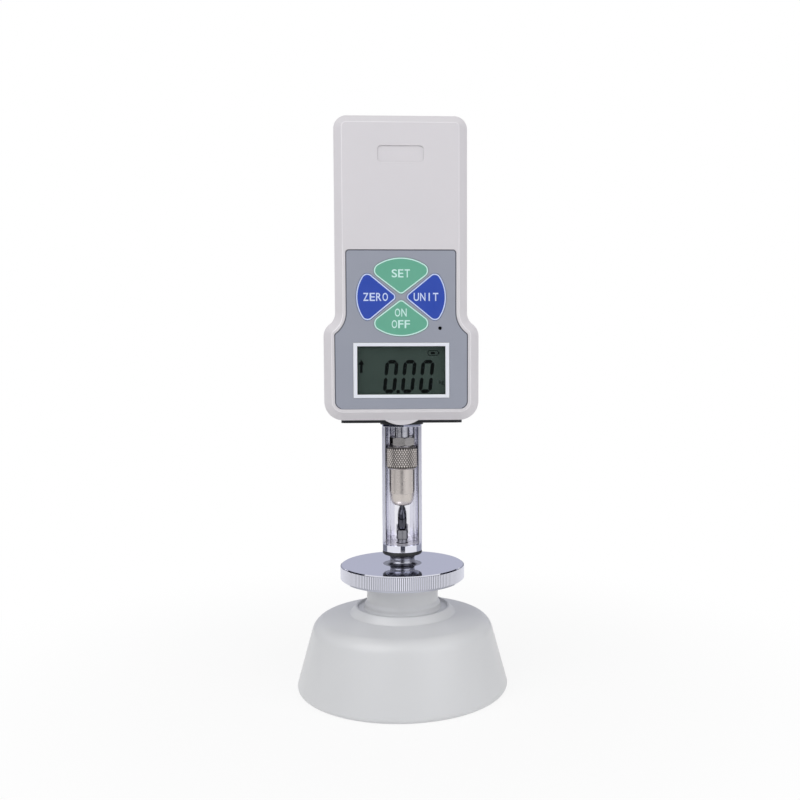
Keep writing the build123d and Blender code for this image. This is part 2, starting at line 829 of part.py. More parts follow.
# Fascia, keys and display
with BuildPart() as fascia:
    with BuildSketch(front(fascia_seat)):
        add(fascia_outline(fascia_gap))
        for shape, turn in keys.values():
            add(petal(shape, turn, key_gap), mode=Mode.SUBTRACT)
        with Locations((0, bezel_level)):
            Rectangle(bezel_width + 2 * fascia_gap, bezel_height + 2 * fascia_gap, mode=Mode.SUBTRACT)
        with Locations((sounder_x, sounder_level)):
            Circle(sounder_hole_radius, mode=Mode.SUBTRACT)
    extrude(amount=fascia_thickness)
finish(fascia, "fascia")

for (name, (shape, turn)), place in zip(keys.items(), key_places):
    with BuildPart() as key:
        with BuildSketch(front(key_back)):
            add(petal(shape, turn))
        extrude(amount=key_thickness)
        chamfer(key.faces().sort_by(Axis.Y)[0].edges(), length=key_edge)
        with BuildSketch(front(key_back)):
            with Locations(place):
                Circle(plunger_radius)
        extrude(amount=plunger_end - key_back)
    finish(key, name)

with BuildPart() as lcd_bezel:
    with BuildSketch(front(fascia_seat)):
        with Locations((0, bezel_level)):
            Rectangle(bezel_width, bezel_height)
            Rectangle(glass_width, glass_height, mode=Mode.SUBTRACT)
    extrude(amount=bezel_face - fascia_seat)
finish(lcd_bezel, "lcd_bezel")

with BuildPart() as lcd_window:
    with BuildSketch(front(glass_back)):
        with Locations((0, bezel_level)):
            Rectangle(glass_width - 2 * glass_gap, glass_height - 2 * glass_gap)
    extrude(amount=glass_thickness)
finish(lcd_window, "lcd_window")

with BuildPart() as lcd_module:
    with BuildSketch(front(board_front)):
        with Locations((0, bezel_level)):
            Rectangle(glass_width + 2 * module_flange, glass_height + 2 * module_flange)
    extrude(amount=front_inside - module_gap - board_front)
    with BuildSketch(front(board_front)):
        with Locations((0, bezel_level)):
            Rectangle(glass_width - 2 * glass_gap, glass_height - 2 * glass_gap)
    extrude(amount=glass_back - window_air - board_front)
finish(lcd_module, "lcd_module")

# Electronics
with BuildPart() as circuit_board:
    with BuildSketch(front(board_back)):
        with Locations((0, (board_bottom + board_top) / 2)):
            Rectangle(2 * board_half, board_top - board_bottom)
        with Locations((0, bezel_level)):
            Rectangle(2 * (ear_x + post_edge), ear_height)
        with Locations(*post_places):
            Circle(screw_radius + loose_gap, mode=Mode.SUBTRACT)
    extrude(amount=board_thickness)
finish(circuit_board, "circuit_board")

with BuildPart() as board_screws:
    with BuildSketch(front(board_back)):
        with Locations(*post_places):
            Circle(screw_radius)
    extrude(amount=board_screw_length)
    with BuildSketch(front(board_back)):
        with Locations(*post_places):
            Circle(screw_head_radius)
    extrude(amount=-screw_head_height)
finish(board_screws, "board_screws")

with BuildPart() as key_switches:
    with BuildSketch(front(board_front)):
        with Locations(*key_places):
            Rectangle(switch_size, switch_size)
    extrude(amount=switch_height)
    with BuildSketch(front(board_front + switch_height)):
        with Locations(*key_places):
            Circle(button_radius)
    extrude(amount=button_height)
finish(key_switches, "key_switches")

with BuildPart() as sounder:
    with BuildSketch(front(board_front)):
        with Locations((sounder_x, sounder_level)):
            Circle(sounder_radius)
    extrude(amount=sounder_height)
    with BuildSketch(front(board_front + sounder_height)):
        with Locations((sounder_x, sounder_level)):
            Circle(sounder_hole_radius)
    extrude(amount=-sounder_height / 2, mode=Mode.SUBTRACT)
finish(sounder, "sounder")

with BuildPart() as battery_pack:
    with BuildSketch(front(wall - half_depth)):
        with Locations((0, battery_level)):
            Rectangle(battery_width, battery_height)
    extrude(amount=battery_depth)
    fillet(battery_pack.edges().filter_by(Axis.Z), radius=battery_round)
finish(battery_pack, "battery_pack")

with BuildPart() as charging_socket:
    with BuildSketch(Plane.YZ.offset(socket_face)):
        with Locations((port_y, port_level)):
            Rectangle(port_width - 2 * socket_margin, port_height - 2 * socket_margin)
    extrude(amount=-socket_depth)
    with BuildSketch(Plane.YZ.offset(socket_face)):
        with Locations((port_y, port_level)):
            SlotOverall(socket_slot_width, socket_slot_height)
    extrude(amount=socket_floor - socket_depth, mode=Mode.SUBTRACT)
finish(charging_socket, "charging_socket")

with BuildPart() as port_cover:
    with BuildSketch(Plane.YZ.offset(socket_face + touch_gap)):
        with Locations((port_y, port_level)):
            RectangleRounded(port_width - 2 * run_gap, port_height - 2 * run_gap, port_round - run_gap)
    extrude(amount=port_face - socket_face - touch_gap)
    with BuildSketch(Plane.YZ.offset(port_face)):
        with Locations((port_y - port_grip_shift, port_level)):
            SlotOverall(port_height - 2 * port_grip, port_grip, rotation=90)
    extrude(amount=-port_grip_depth, mode=Mode.SUBTRACT)
finish(port_cover, "port_cover")

# Force measurement: a frame on the mounting plate, with the load cell hung from its top
with BuildPart() as sensor_frame:
    with BuildSketch(Plane.XY.offset(floor_inside)):
        with Locations((0, (frame_back - frame_front) / 2)):
            Rectangle(2 * frame_half, frame_back + frame_front)
    extrude(amount=frame_plate)
    with BuildSketch(Plane.XY.offset(floor_inside)):
        with Locations((0, frame_back - frame_spine / 2)):
            Rectangle(2 * spine_half, frame_spine)
    extrude(amount=cell_top + frame_plate - floor_inside)
    with BuildSketch(Plane.XY.offset(cell_top)):
        with Locations((0, (frame_back - frame_arm) / 2)):
            Rectangle(2 * spine_half, frame_back + frame_arm)
    extrude(amount=frame_plate)
    with BuildSketch(Plane.XY.offset(cell_top)):
        Circle(thread_radius)
    extrude(amount=frame_plate, mode=Mode.SUBTRACT)
    with BuildSketch(Plane.XY.offset(floor_inside)):
        Circle(spigot_radius + lap_gap)
        with GridLocations(2 * plate_screw_x, 2 * plate_screw_y, 2, 2):
            Circle(screw_radius)
    extrude(amount=frame_plate, mode=Mode.SUBTRACT)
finish(sensor_frame, "sensor_frame")

with BuildPart() as load_cell:
    with BuildSketch(front(-cell_depth / 2)):
        with Locations((0, cell_level + cell_height / 2)):
            Rectangle(cell_width, cell_height)
            Circle(cell_bore_radius, mode=Mode.SUBTRACT)
        for side in (-1, 1):
            with Locations((side * cell_slot_shift, cell_level + cell_height / 2 + side * cell_slot_rise)):
                Rectangle(cell_width, cell_slot, mode=Mode.SUBTRACT)
    extrude(amount=cell_depth)
    for level, reach in [(cell_level, cell_thread), (cell_top, -cell_thread)]:
        with BuildSketch(Plane.XY.offset(level)):
            Circle(thread_radius)
        extrude(amount=reach, mode=Mode.SUBTRACT)
finish(load_cell, "load_cell")

with BuildPart() as cell_bolt:
    with BuildSketch(Plane.XY.offset(cell_top + frame_plate)):
        Circle(thread_radius)
    extrude(amount=-(frame_plate + cell_thread - thread_gap))
    with BuildSketch(Plane.XY.offset(cell_top + frame_plate)):
        Circle(bolt_head_radius)
        RegularPolygon(thread_radius, 6, mode=Mode.SUBTRACT)
    extrude(amount=bolt_head_height)
finish(cell_bolt, "cell_bolt")

# Measuring shaft, lock nut and chuck
with BuildPart() as measuring_shaft:
    with BuildSketch(Plane.XY.offset(nut_top)):
        Circle(shaft_radius)
    extrude(amount=cell_level - nut_top)
    with BuildSketch(Plane.XY.offset(shaft_thread_end)):
        Circle(thread_radius)
    extrude(amount=cell_level + cell_thread - thread_gap - shaft_thread_end)
finish(measuring_shaft, "measuring_shaft")

with BuildPart() as lock_nut:
    with BuildSketch(Plane.XY.offset(nut_level)):
        RegularPolygon(nut_flats / 2, 6, major_radius=False, rotation=nut_turn)
    extrude(amount=nut_height)
    with BuildSketch(Plane.XZ):
        with BuildLine():
            Polyline(
                (0, nut_level),
                (nut_flats / 2 - 0.1, nut_level),
                (nut_flats / 2 + 0.8, nut_level + nut_chamfer),
                (nut_flats / 2 + 0.8, nut_top - nut_chamfer),
                (nut_flats / 2 - 0.1, nut_top),
                (0, nut_top),
                close=True,
            )
        make_face()
    revolve(axis=Axis.Z, mode=Mode.INTERSECT)
    with BuildSketch(Plane.XY.offset(nut_level)):
        Circle(thread_radius)
    extrude(amount=nut_height, mode=Mode.SUBTRACT)
finish(lock_nut, "lock_nut")

with BuildPart() as chuck_body:
    with BuildSketch(Plane.XY.offset(nut_level)):
        Circle(chuck_core_radius)
    extrude(amount=chuck_core_bottom - nut_level)
    with BuildSketch(Plane.XY.offset(nut_level)):
        Circle(thread_radius)
    extrude(amount=-(nut_level - shaft_thread_end) - play, mode=Mode.SUBTRACT)
finish(chuck_body, "chuck_body")

# Closing sleeve of the chuck; its knurl is a surface of the visual model
with BuildPart() as chuck_sleeve:
    with BuildSketch(Plane.XZ):
        with BuildLine():
            Polyline(
                (nose_radius, nose_bottom),
                (collet_tip_radius + run_gap, nose_bottom),
                (collet_tip_radius + run_gap, collet_level),
                (collet_radius + run_gap, cone_top),
                (collet_radius + run_gap, chuck_core_bottom - play),
                (chuck_core_radius + run_gap, chuck_core_bottom - play),
                (chuck_core_radius + run_gap, sleeve_top),
                (knurled_radius - knurled_edge, sleeve_top),
                (knurled_radius, sleeve_top - knurled_edge),
                (knurled_radius, barrel_top + knurled_edge),
                (knurled_radius - knurled_edge, barrel_top),
                (barrel_radius, barrel_top),
                (barrel_radius, nose_top),
                (barrel_radius - nose_step, nose_top),
            )
            TangentArc(
                (barrel_radius - nose_step, nose_top),
                (nose_radius, nose_bottom),
                tangent=(0, -1),
            )
        make_face()
    revolve(axis=Axis.Z)
finish(chuck_sleeve, "chuck_sleeve")

with BuildPart() as chuck_collet:
    with BuildSketch(Plane.XZ):
        with BuildLine():
            Polyline(
                (shank_radius, collet_level),
                (collet_tip_radius, collet_level),
                (collet_radius, cone_top),
                (collet_radius, collet_top),
                (shank_radius, collet_top),
                close=True,
            )
        make_face()
    revolve(axis=Axis.Z)
    with BuildSketch(Plane.XY.offset(collet_level)):
        Rectangle(3 * collet_radius, collet_slot)
        Rectangle(collet_slot, 3 * collet_radius)
    extrude(amount=collet_length - collet_web, mode=Mode.SUBTRACT)
finish(chuck_collet, "chuck_collet")

with BuildPart() as presser_tip:
    turn = radians(tip_ball_angle)
    ball_end = (tip_ball * sin(turn), tip_bottom + tip_ball * (1 - cos(turn)))
    ball_middle = (tip_ball * sin(turn / 2), tip_bottom + tip_ball * (1 - cos(turn / 2)))
    with BuildSketch(Plane.XZ):
        with BuildLine():
            ThreePointArc((0, tip_bottom), ball_middle, ball_end)
            TangentArc(ball_end, (tip_radius, tip_bottom + tip_widest), tangent=(cos(turn), sin(turn)))
            TangentArc(
                (tip_radius, tip_bottom + tip_widest),
                (shank_radius, tip_bottom + tip_length),
                tangent=(0, 1),
            )
            Polyline(
                (shank_radius, tip_bottom + tip_length),
                (shank_radius, shank_top),
                (0, shank_top),
                (0, tip_bottom),
            )
        make_face()
    revolve(axis=Axis.Z)
finish(presser_tip, "presser_tip")
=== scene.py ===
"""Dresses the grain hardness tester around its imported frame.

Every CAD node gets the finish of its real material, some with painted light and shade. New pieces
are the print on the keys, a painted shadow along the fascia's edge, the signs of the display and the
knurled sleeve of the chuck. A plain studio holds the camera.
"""

import json
import math
from collections import namedtuple

import bpy
from mathutils import Matrix, Vector

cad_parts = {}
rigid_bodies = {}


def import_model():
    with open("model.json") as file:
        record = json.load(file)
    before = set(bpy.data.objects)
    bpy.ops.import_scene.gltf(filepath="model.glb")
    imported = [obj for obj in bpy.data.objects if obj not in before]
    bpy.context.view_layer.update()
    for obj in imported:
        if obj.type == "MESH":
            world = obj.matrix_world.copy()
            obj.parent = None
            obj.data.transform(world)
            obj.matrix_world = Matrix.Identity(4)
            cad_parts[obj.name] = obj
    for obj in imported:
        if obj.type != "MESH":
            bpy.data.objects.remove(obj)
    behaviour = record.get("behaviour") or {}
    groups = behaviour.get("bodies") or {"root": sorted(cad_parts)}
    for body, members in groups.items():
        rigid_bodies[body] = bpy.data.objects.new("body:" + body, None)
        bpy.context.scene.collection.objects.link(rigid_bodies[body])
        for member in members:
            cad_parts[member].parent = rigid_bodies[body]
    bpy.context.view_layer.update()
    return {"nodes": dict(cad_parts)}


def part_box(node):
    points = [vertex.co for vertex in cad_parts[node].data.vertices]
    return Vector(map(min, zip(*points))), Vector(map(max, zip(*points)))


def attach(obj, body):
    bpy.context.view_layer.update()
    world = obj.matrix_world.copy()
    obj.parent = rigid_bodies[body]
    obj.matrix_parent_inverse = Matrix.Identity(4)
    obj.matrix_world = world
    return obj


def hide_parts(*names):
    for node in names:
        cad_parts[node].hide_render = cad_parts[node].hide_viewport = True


bl_info = {
    "name": "Grain hardness tester",
    "version": (1, 0, 0),
    "blender": (4, 5, 0),
    "location": "3D View > Sidebar > Tester",
    "description": "Finishes, printing, display and studio for the grain hardness tester",
    "category": "Object",
}

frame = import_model()
NODES = frame["nodes"]
MM = 0.001
WELD = 0.001 * MM       # points nearer than this are merged
NEAR = 0.01 * MM        # places nearer than this count as the same
EDGE_SAMPLES = 8        # rays that feel out an edge or a corner

# Millimetres of the CAD parts that the finishes follow
RIM_KNURL = 0.35        # depth of the rim's grooves
TUBE_BORE = 8.1         # radius just past the tube's bore
TUBE_CUT = -1.0         # place of the tube's milled faces along Y
FOOT_FLOOR = 9.2        # radius inside which the foot is floor
HUB_REACH = 9.3         # radius inside which the handwheel is hub


# Colour and node helpers

def linear(code):
    """Turn an sRGB hex code into linear red, green and blue."""
    channels = [int(code[i:i + 2], 16) / 255 for i in (0, 2, 4)]
    return [c / 12.92 if c <= 0.04045 else ((c + 0.055) / 1.055) ** 2.4 for c in channels]


def shade(colour, factor=1.0):
    """Darken or lighten a colour, and add its alpha."""
    return (*[min(1.0, c * factor) for c in colour], 1.0)


def add_node(tree, kind, inputs=None, **settings):
    """Add a node, apply its settings, and set or link each of its inputs."""
    node = tree.nodes.new(kind)
    for name, value in settings.items():
        setattr(node, name, value)
    for name, value in (inputs or {}).items():
        if isinstance(value, bpy.types.NodeSocket):
            tree.links.new(value, node.inputs[name])
        else:
            node.inputs[name].default_value = value
    return node


def maths(tree, operation, *values, **settings):
    """Result of a sum on values and sockets."""
    inputs = dict(enumerate(values))
    return add_node(tree, "ShaderNodeMath", inputs, operation=operation, **settings).outputs[0]


def carry(tree, value, low, high, start=0.0, end=1.0, **settings):
    """Carry a value over from the range low to high to the range start to end."""
    inputs = {"Value": value, "From Min": low, "From Max": high, "To Min": start, "To Max": end}
    return add_node(tree, "ShaderNodeMapRange", inputs, **settings).outputs["Result"]


def blend(tree, share, first, second):
    """Mix two colours by the share of the second."""
    inputs = {"Factor": share, "A": first, "B": second}
    return add_node(tree, "ShaderNodeMix", inputs, data_type="RGBA").outputs["Result"]


def along(tree, vector, axis):
    """Part of a vector along one axis."""
    return add_node(tree, "ShaderNodeSeparateXYZ", {"Vector": vector}).outputs[axis]


def soft_normal(tree, radius):
    """Normal of the surface with its edges rounded by a radius in millimetres."""
    return add_node(tree, "ShaderNodeBevel", {"Radius": radius * MM}, samples=EDGE_SAMPLES).outputs["Normal"]


# A material in the making, with its node tree, its shader and its object coordinates
Look = namedtuple("Look", "material tree shader place")


def start_material(name, **inputs):
    """Start a material, with constants on its shader."""
    material = bpy.data.materials.new(name)
    material.use_nodes = True
    tree = material.node_tree
    shader = tree.nodes["Principled BSDF"]
    for key, value in inputs.items():
        shader.inputs[key.replace("_", " ").title().replace("Ior", "IOR")].default_value = value
    place = add_node(tree, "ShaderNodeTexCoord").outputs["Object"]
    return Look(material, tree, shader, place)


def feed(look, name, socket):
    """Link a socket to an input of the shader."""
    look.tree.links.new(socket, look.shader.inputs[name])


def fed(look, name):
    """Socket that is linked to an input of the shader."""
    return look.shader.inputs[name].links[0].from_socket


def patches(look, size, detail=2.0):
    """Uneven patches of a size in millimetres, from nought to one."""
    inputs = {"Vector": look.place, "Scale": 1 / (size * MM), "Detail": detail}
    return add_node(look.tree, "ShaderNodeTexNoise", inputs).outputs["Fac"]


def tint(look, colour, spread, size):
    """Let the base colour drift by a few per cent over patches of a size in millimetres."""
    drift = patches(look, size, 3.0)
    feed(look, "Base Color", blend(look.tree, drift, shade(colour, 1 - spread), shade(colour, 1 + spread)))


def wear(look, low, high, size):
    """Let the roughness drift between two values, as handling and polishing leave it."""
    feed(look, "Roughness", carry(look.tree, patches(look, size, 5.0), 0.3, 0.7, low, high))


def from_axis(look):
    """Distance of a point from the column's axis."""
    tree = look.tree
    flat = add_node(tree, "ShaderNodeVectorMath", {0: look.place, 1: (1, 1, 0)}, operation="MULTIPLY")
    return add_node(tree, "ShaderNodeVectorMath", {0: flat.outputs[0]}, operation="LENGTH").outputs["Value"]


def within(look, radius):
    """Mask of what is nearer to the column's axis than a radius in millimetres."""
    return maths(look.tree, "LESS_THAN", from_axis(look), radius * MM)


def facing_front(look):
    """Part of a solid face's normal along Y: minus one on a flat front."""
    return along(look.tree, look.place.node.outputs["Normal"], "Y")


def duller(look, mask, by):
    """Raise the roughness where the mask is one."""
    feed(look, "Roughness", maths(look.tree, "MULTIPLY_ADD", mask, by, fed(look, "Roughness")))


def repaint(look, mask, colour):
    """Lay another colour over the base colour where the mask is one."""
    feed(look, "Base Color", blend(look.tree, mask, fed(look, "Base Color"), colour))


def crevice_shade(look, colour, reach, shade_share=0.55):
    """Paint shade into the corners of recesses and joints; the last argument is how much shade."""
    inputs = {"Distance": reach * MM}
    open_sky = add_node(look.tree, "ShaderNodeAmbientOcclusion", inputs, samples=EDGE_SAMPLES)
    # Painted shade grows as less open sky is seen around a point
    unshaded, shaded = 0.75, 0.35
    shut = carry(look.tree, open_sky.outputs["AO"], unshaded, shaded, end=shade_share)
    repaint(look, shut, shade(colour, 0.35))


def lit_edges(look, colour, reach):
    """Lighten the rounded edges of the front, where its gloss catches the light, but not under a step."""
    tree = look.tree
    flat, unlit, lit, downward = -0.99, -0.985, -0.93, -0.08
    slope = add_node(tree, "ShaderNodeSeparateXYZ", {"Vector": soft_normal(tree, reach)}).outputs
    upper = maths(tree, "GREATER_THAN", slope["Z"], downward)
    gloss = maths(tree, "MULTIPLY", carry(tree, slope["Y"], unlit, lit), upper)
    front = maths(tree, "LESS_THAN", facing_front(look), flat)
    repaint(look, maths(tree, "MULTIPLY", gloss, front), shade(colour, 1.22))


def grime_and_shade_in_grooves(look, colour, root, depth, groove_tone):
    """Darken the grooves of a knurl with grime and painted shade; root is the radius of the grooves."""
    away = maths(look.tree, "ABSOLUTE", maths(look.tree, "SUBTRACT", from_axis(look), root * MM))
    grime_and_shade = carry(look.tree, away, 0.8 * depth * MM, 0.0)
    repaint(look, grime_and_shade, shade(colour, groove_tone))


def relief(look, height, depth, strength, edge=0.0):
    """Raise the surface by a height pattern; edge is the radius that softens sharp corners."""
    inputs = {"Height": height, "Distance": depth * MM, "Strength": strength}
    if edge:
        inputs["Normal"] = soft_normal(look.tree, edge)
    feed(look, "Normal", add_node(look.tree, "ShaderNodeBump", inputs).outputs["Normal"])


def tool_lines(look, spacing, axis="Z"):
    """Lines left by a cutting tool along one axis, as a height."""
    # The wave texture turns through 20 radians in a unit of its scale
    # Real lines are about 0.1 mm apart; these are drawn coarser, so that they show
    inputs = {
        "Vector": look.place,
        "Scale": math.tau / (20 * spacing * MM),
        "Distortion": 1.5,
        "Detail": 2.0,
        "Detail Scale": 40.0,
    }
    return add_node(look.tree, "ShaderNodeTexWave", inputs, bands_direction=axis).outputs["Fac"]


# Materials
# Sizes and depths are millimetres. Grain is drawn no finer than 0.4 mm, the finest that shows

def moulded_abs(name, colour):
    """ABS, injection moulded in a spark-eroded tool: satin grain, with painted highlights and painted shade.
    """
    look = start_material(name, ior=1.54)
    tint(look, colour, spread=0.012, size=30)
    wear(look, low=0.38, high=0.47, size=20)
    # The front's ridge lies between the face and its bevel, and gets a painted highlight: a lighter colour
    ridge_highlight_facing, margin = -0.9, 0.075
    repaint(look, maths(look.tree, "COMPARE", facing_front(look), ridge_highlight_facing, margin), shade(colour, 1.24))
    lit_edges(look, colour, reach=0.35)
    # Painted shade in the corners of recesses and joints
    crevice_shade(look, colour, reach=0.8)
    # The real grain is about 0.1 mm; 0.6 mm is the finest that shows
    relief(look, patches(look, 0.6), depth=0.012, strength=0.35, edge=0.35)
    return look


def enamelled_iron(name, colour):
    """Cast iron under a stoved gloss enamel: a soft sheen with a faint orange peel."""
    look = start_material(name, ior=1.5, coat_weight=0.25, coat_roughness=0.12)
    tint(look, colour, spread=0.012, size=40)
    wear(look, low=0.34, high=0.42, size=30)
    relief(look, patches(look, 2.2), depth=0.02, strength=0.3, edge=1.1)
    return look


def bright_chrome(name, colour):
    """Steel with polished chrome plate: a cool mirror, broken only by faint handling marks."""
    look = start_material(name, metallic=1.0)
    tint(look, colour, spread=0.01, size=20)
    wear(look, low=0.03, high=0.08, size=8)
    relief(look, patches(look, 3), depth=0.004, strength=0.2, edge=0.15)
    return look


def bored_chrome(name, colour, bore_colour):
    """Chromed tube: polished outside, a lighter honed bore, and dull on the milled faces of its cut."""
    look = bright_chrome(name, colour)
    inside = within(look, TUBE_BORE)
    duller(look, inside, by=0.05)
    repaint(look, inside, shade(bore_colour))
    margin = 0.08 * MM
    milled = maths(look.tree, "COMPARE", along(look.tree, look.place, "Y"), TUBE_CUT * MM, margin)
    duller(look, milled, by=0.4)
    return look


def knurled_chrome(name, colour, root):
    """Chromed wheel: polished, with painted shade on the softer turned hub, and grime and painted shade in
    the rim's grooves.
    """
    look = bright_chrome(name, colour)
    # Grime and painted shade in the rim's grooves
    grime_and_shade_in_grooves(look, colour, root, RIM_KNURL, groove_tone=0.4)
    # The hub is painted darker: painted shade for the dark that it reflects
    shaded_hub = within(look, HUB_REACH)
    duller(look, shaded_hub, by=0.16)
    repaint(look, shaded_hub, shade(colour, 0.36))
    return look


def satin_nickel(name, colour, root=None, depth=None):
    """Brass or steel with satin nickel plate over turned rings: a warm, soft shine, with grime and painted
    shade in a knurl.
    """
    look = start_material(name, metallic=1.0)
    tint(look, colour, spread=0.03, size=4)
    wear(look, low=0.24, high=0.36, size=3)
    relief(look, tool_lines(look, 1.571), depth=0.002, strength=0.3, edge=0.15)
    if root:
        # Grime and painted shade in the knurl's grooves
        grime_and_shade_in_grooves(look, colour, root, depth, groove_tone=0.12)
    return look


def turned_steel(name, colour, dullness=0.16):
    """Bright mild steel, turned and left bare: fine rings and a cool shine."""
    look = start_material(name, metallic=1.0)
    tint(look, colour, spread=0.03, size=5)
    wear(look, low=dullness, high=dullness + 0.12, size=4)
    relief(look, tool_lines(look, 1.885), depth=0.005, strength=0.35)
    return look


def floored_steel(name, colour, lit_floor_colour):
    """Turned steel foot: a polished ring round a duller floor, with painted light on the floor."""
    look = turned_steel(name, colour, 0.12)
    # Painted light: the floor inside the foot is painted much lighter than its ring
    inside = within(look, FOOT_FLOOR)
    duller(look, inside, by=0.35)
    repaint(look, inside, shade(lit_floor_colour))
    return look


def hardened_tip(name, colour):
    """Hardened tool steel, oil-blackened and polished: nearly black with sharp highlights."""
    look = start_material(name, metallic=1.0)
    tint(look, colour, spread=0.05, size=3)
    wear(look, low=0.05, high=0.1, size=2)
    return look


def zinc_plated_steel(name):
    """Steel fastener with bright zinc plate: a slightly cloudy bluish shine."""
    look = start_material(name, metallic=1.0)
    tint(look, linear("BFC3C8"), spread=0.06, size=2)
    wear(look, low=0.25, high=0.4, size=2)
    return look


def tin_bronze(name):
    """Turned tin bronze: warm metal with fine rings."""
    look = start_material(name, metallic=1.0)
    tint(look, linear("B08A52"), spread=0.05, size=4)
    wear(look, low=0.25, high=0.38, size=3)
    relief(look, tool_lines(look, 1.885), depth=0.005, strength=0.3)
    return look


def milled_aluminium(name):
    """Milled aluminium alloy: a bright, slightly streaky metal."""
    look = start_material(name, metallic=1.0)
    tint(look, linear("C4C7CB"), spread=0.04, size=6)
    wear(look, low=0.28, high=0.4, size=4)
    relief(look, tool_lines(look, 3.142, "X"), depth=0.004, strength=0.3)
    return look


def black_anodised_aluminium(name, colour):
    """Bead-blasted and black anodised aluminium: deep grey-black with a dull sheen."""
    look = start_material(name, ior=1.6, metallic=0.3)
    tint(look, colour, spread=0.12, size=4)
    wear(look, low=0.36, high=0.5, size=3)
    relief(look, patches(look, 0.5), depth=0.008, strength=0.3)
    return look


def nitrile_rubber(name, colour):
    """Moulded nitrile rubber: black and matt, with a faint sheen on the curves."""
    look = start_material(name, ior=1.52)
    tint(look, colour, spread=0.2, size=2)
    wear(look, low=0.42, high=0.6, size=2)
    relief(look, patches(look, 0.4), depth=0.01, strength=0.3)
    return look


def printed_polycarbonate(name, colour, sheen=0.3, shaded_rim=False):
    """Polycarbonate film, reverse printed: an even ink under a fine velvet surface."""
    look = start_material(name, ior=1.58)
    tint(look, colour, spread=0.015, size=12)
    wear(look, low=sheen, high=sheen + 0.08, size=10)
    if shaded_rim:
        # Painted shade round the film's rim, where the housing meets it
        crevice_shade(look, colour, reach=1.0, shade_share=0.9)
    # The velvet texture is about 0.05 mm; 0.5 mm is the finest that shows
    relief(look, patches(look, 0.5), depth=0.006, strength=0.3)
    return look


def screen_ink(name, colour, gloss=0.5):
    """Screen-printed ink: a thin, even, satin film with slightly uneven cover."""
    look = start_material(name, ior=1.5, specular_ior_level=gloss)
    tint(look, colour, spread=0.03, size=1.5)
    wear(look, low=0.38, high=0.5, size=2)
    return look


def display_glass(name, colour):
    """Reflective liquid-crystal cell behind its polariser: an even dark grey-green without gloss."""
    look = start_material(name, ior=1.5, specular_ior_level=0.1)
    tint(look, colour, spread=0.08, size=20)
    wear(look, low=0.3, high=0.4, size=10)
    return look


def clear_acrylic(name):
    """Cast acrylic window: clear and slightly smoky, with a polished face that adds a light reflection."""
    look = start_material(name, ior=1.49, alpha=0.12)
    tint(look, linear("12161A"), spread=0.02, size=10)
    wear(look, low=0.03, high=0.07, size=6)
    return look


def solder_mask(name):
    """Glass-epoxy board under green solder mask, with fine copper tracks showing through."""
    look = start_material(name, ior=1.52, roughness=0.3)
    green = linear("1F6B3A")
    inputs = {
        "Vector": look.place,
        "Scale": 1 / (20 * MM),
        "Mortar Size": 0.01,
        "Color1": shade(green),
        "Color2": shade(green, 1.15),
        "Mortar": shade(green, 1.9),
    }
    feed(look, "Base Color", add_node(look.tree, "ShaderNodeTexBrick", inputs).outputs["Color"])
    return look


def black_nylon(name):
    """Glass-filled nylon: black, dull and slightly mottled."""
    look = start_material(name, ior=1.53)
    tint(look, linear("1C1C1E"), spread=0.15, size=2)
    wear(look, low=0.4, high=0.55, size=2)
    relief(look, patches(look, 0.6), depth=0.01, strength=0.25)
    return look


def shrink_film(name):
    """PVC shrink sleeve round the cells: glossy, with slight waves."""
    look = start_material(name, ior=1.53)
    tint(look, linear("2C4F8C"), spread=0.05, size=10)
    wear(look, low=0.15, high=0.25, size=10)
    relief(look, patches(look, 6), depth=0.05, strength=0.3)
    return look


# Settings

def colour_setting(label, code, description):
    """A colour that a user may change, given as sRGB hex."""
    return bpy.props.FloatVectorProperty(
        name=label,
        description=description,
        subtype="COLOR",
        size=3,
        min=0.0,
        max=1.0,
        default=linear(code),
    )


def length_setting(label, millimetres, description):
    """A length that a user may change, given in millimetres."""
    return bpy.props.FloatProperty(
        name=label,
        description=description,
        subtype="DISTANCE",
        unit="LENGTH",
        min=0.0,
        precision=5,
        default=millimetres * MM,
    )


class FinishSettings(bpy.types.PropertyGroup):
    """Colours of the finishes."""

    housing: colour_setting("Housing", "D6D3D7", "Moulded shells of the gauge")
    casting: colour_setting("Base", "D8D9DB", "Enamel on the base casting")
    chrome: colour_setting("Chrome", "E2E3EE", "Handwheel and column tube")
    nickel: colour_setting("Nickel", "CCC5C0", "Chuck sleeve")
    bore: colour_setting("Bore", "EAEAF1", "Honed bore of the column tube")
    steel: colour_setting("Steel", "C6C6CC", "Measuring shaft, chuck body and collet")
    foot: colour_setting("Foot", "929298", "Bright ring at the foot of the column")
    # Painted light: the foot's floor gets a lighter colour than its ring
    lit_foot_floor: colour_setting("Foot floor", "E6E4E8", "Turned floor of the foot, inside the column")
    nut: colour_setting("Nut", "AAA7A6", "Lock nut above the chuck")
    anvil: colour_setting("Anvil", "8A8A90", "Anvil that lifts the grain")
    tip: colour_setting("Tip", "4C4D56", "Presser tip")
    fascia: colour_setting("Fascia", "989CA9", "Printed film round the keys")
    # Painted shadow: the dark line along the fascia's edge stands in for the shade under the housing
    film_edge_shadow: colour_setting("Film edge", "5E616C", "Dark line along the fascia's edge")
    green: colour_setting("Green", "62AB91", "SET and ON/OFF keys")
    blue: colour_setting("Blue", "1E44AE", "ZERO and UNIT keys")
    green_print: colour_setting("Green key print", "C8EBE5", "Border and words on the green keys")
    blue_print: colour_setting("Blue key print", "C8D6F5", "Border and words on the blue keys")
    bezel: colour_setting("Bezel", "E6E9F2", "Frame of the display")
    display: colour_setting("Display", "4B5A54", "Liquid-crystal cell")
    segments: colour_setting("Segments", "050A08", "Dark segments of the display")
    black: colour_setting("Black", "1B1C20", "Mounting plate")
    rubber: colour_setting("Rubber", "161617", "O-ring and socket cover")


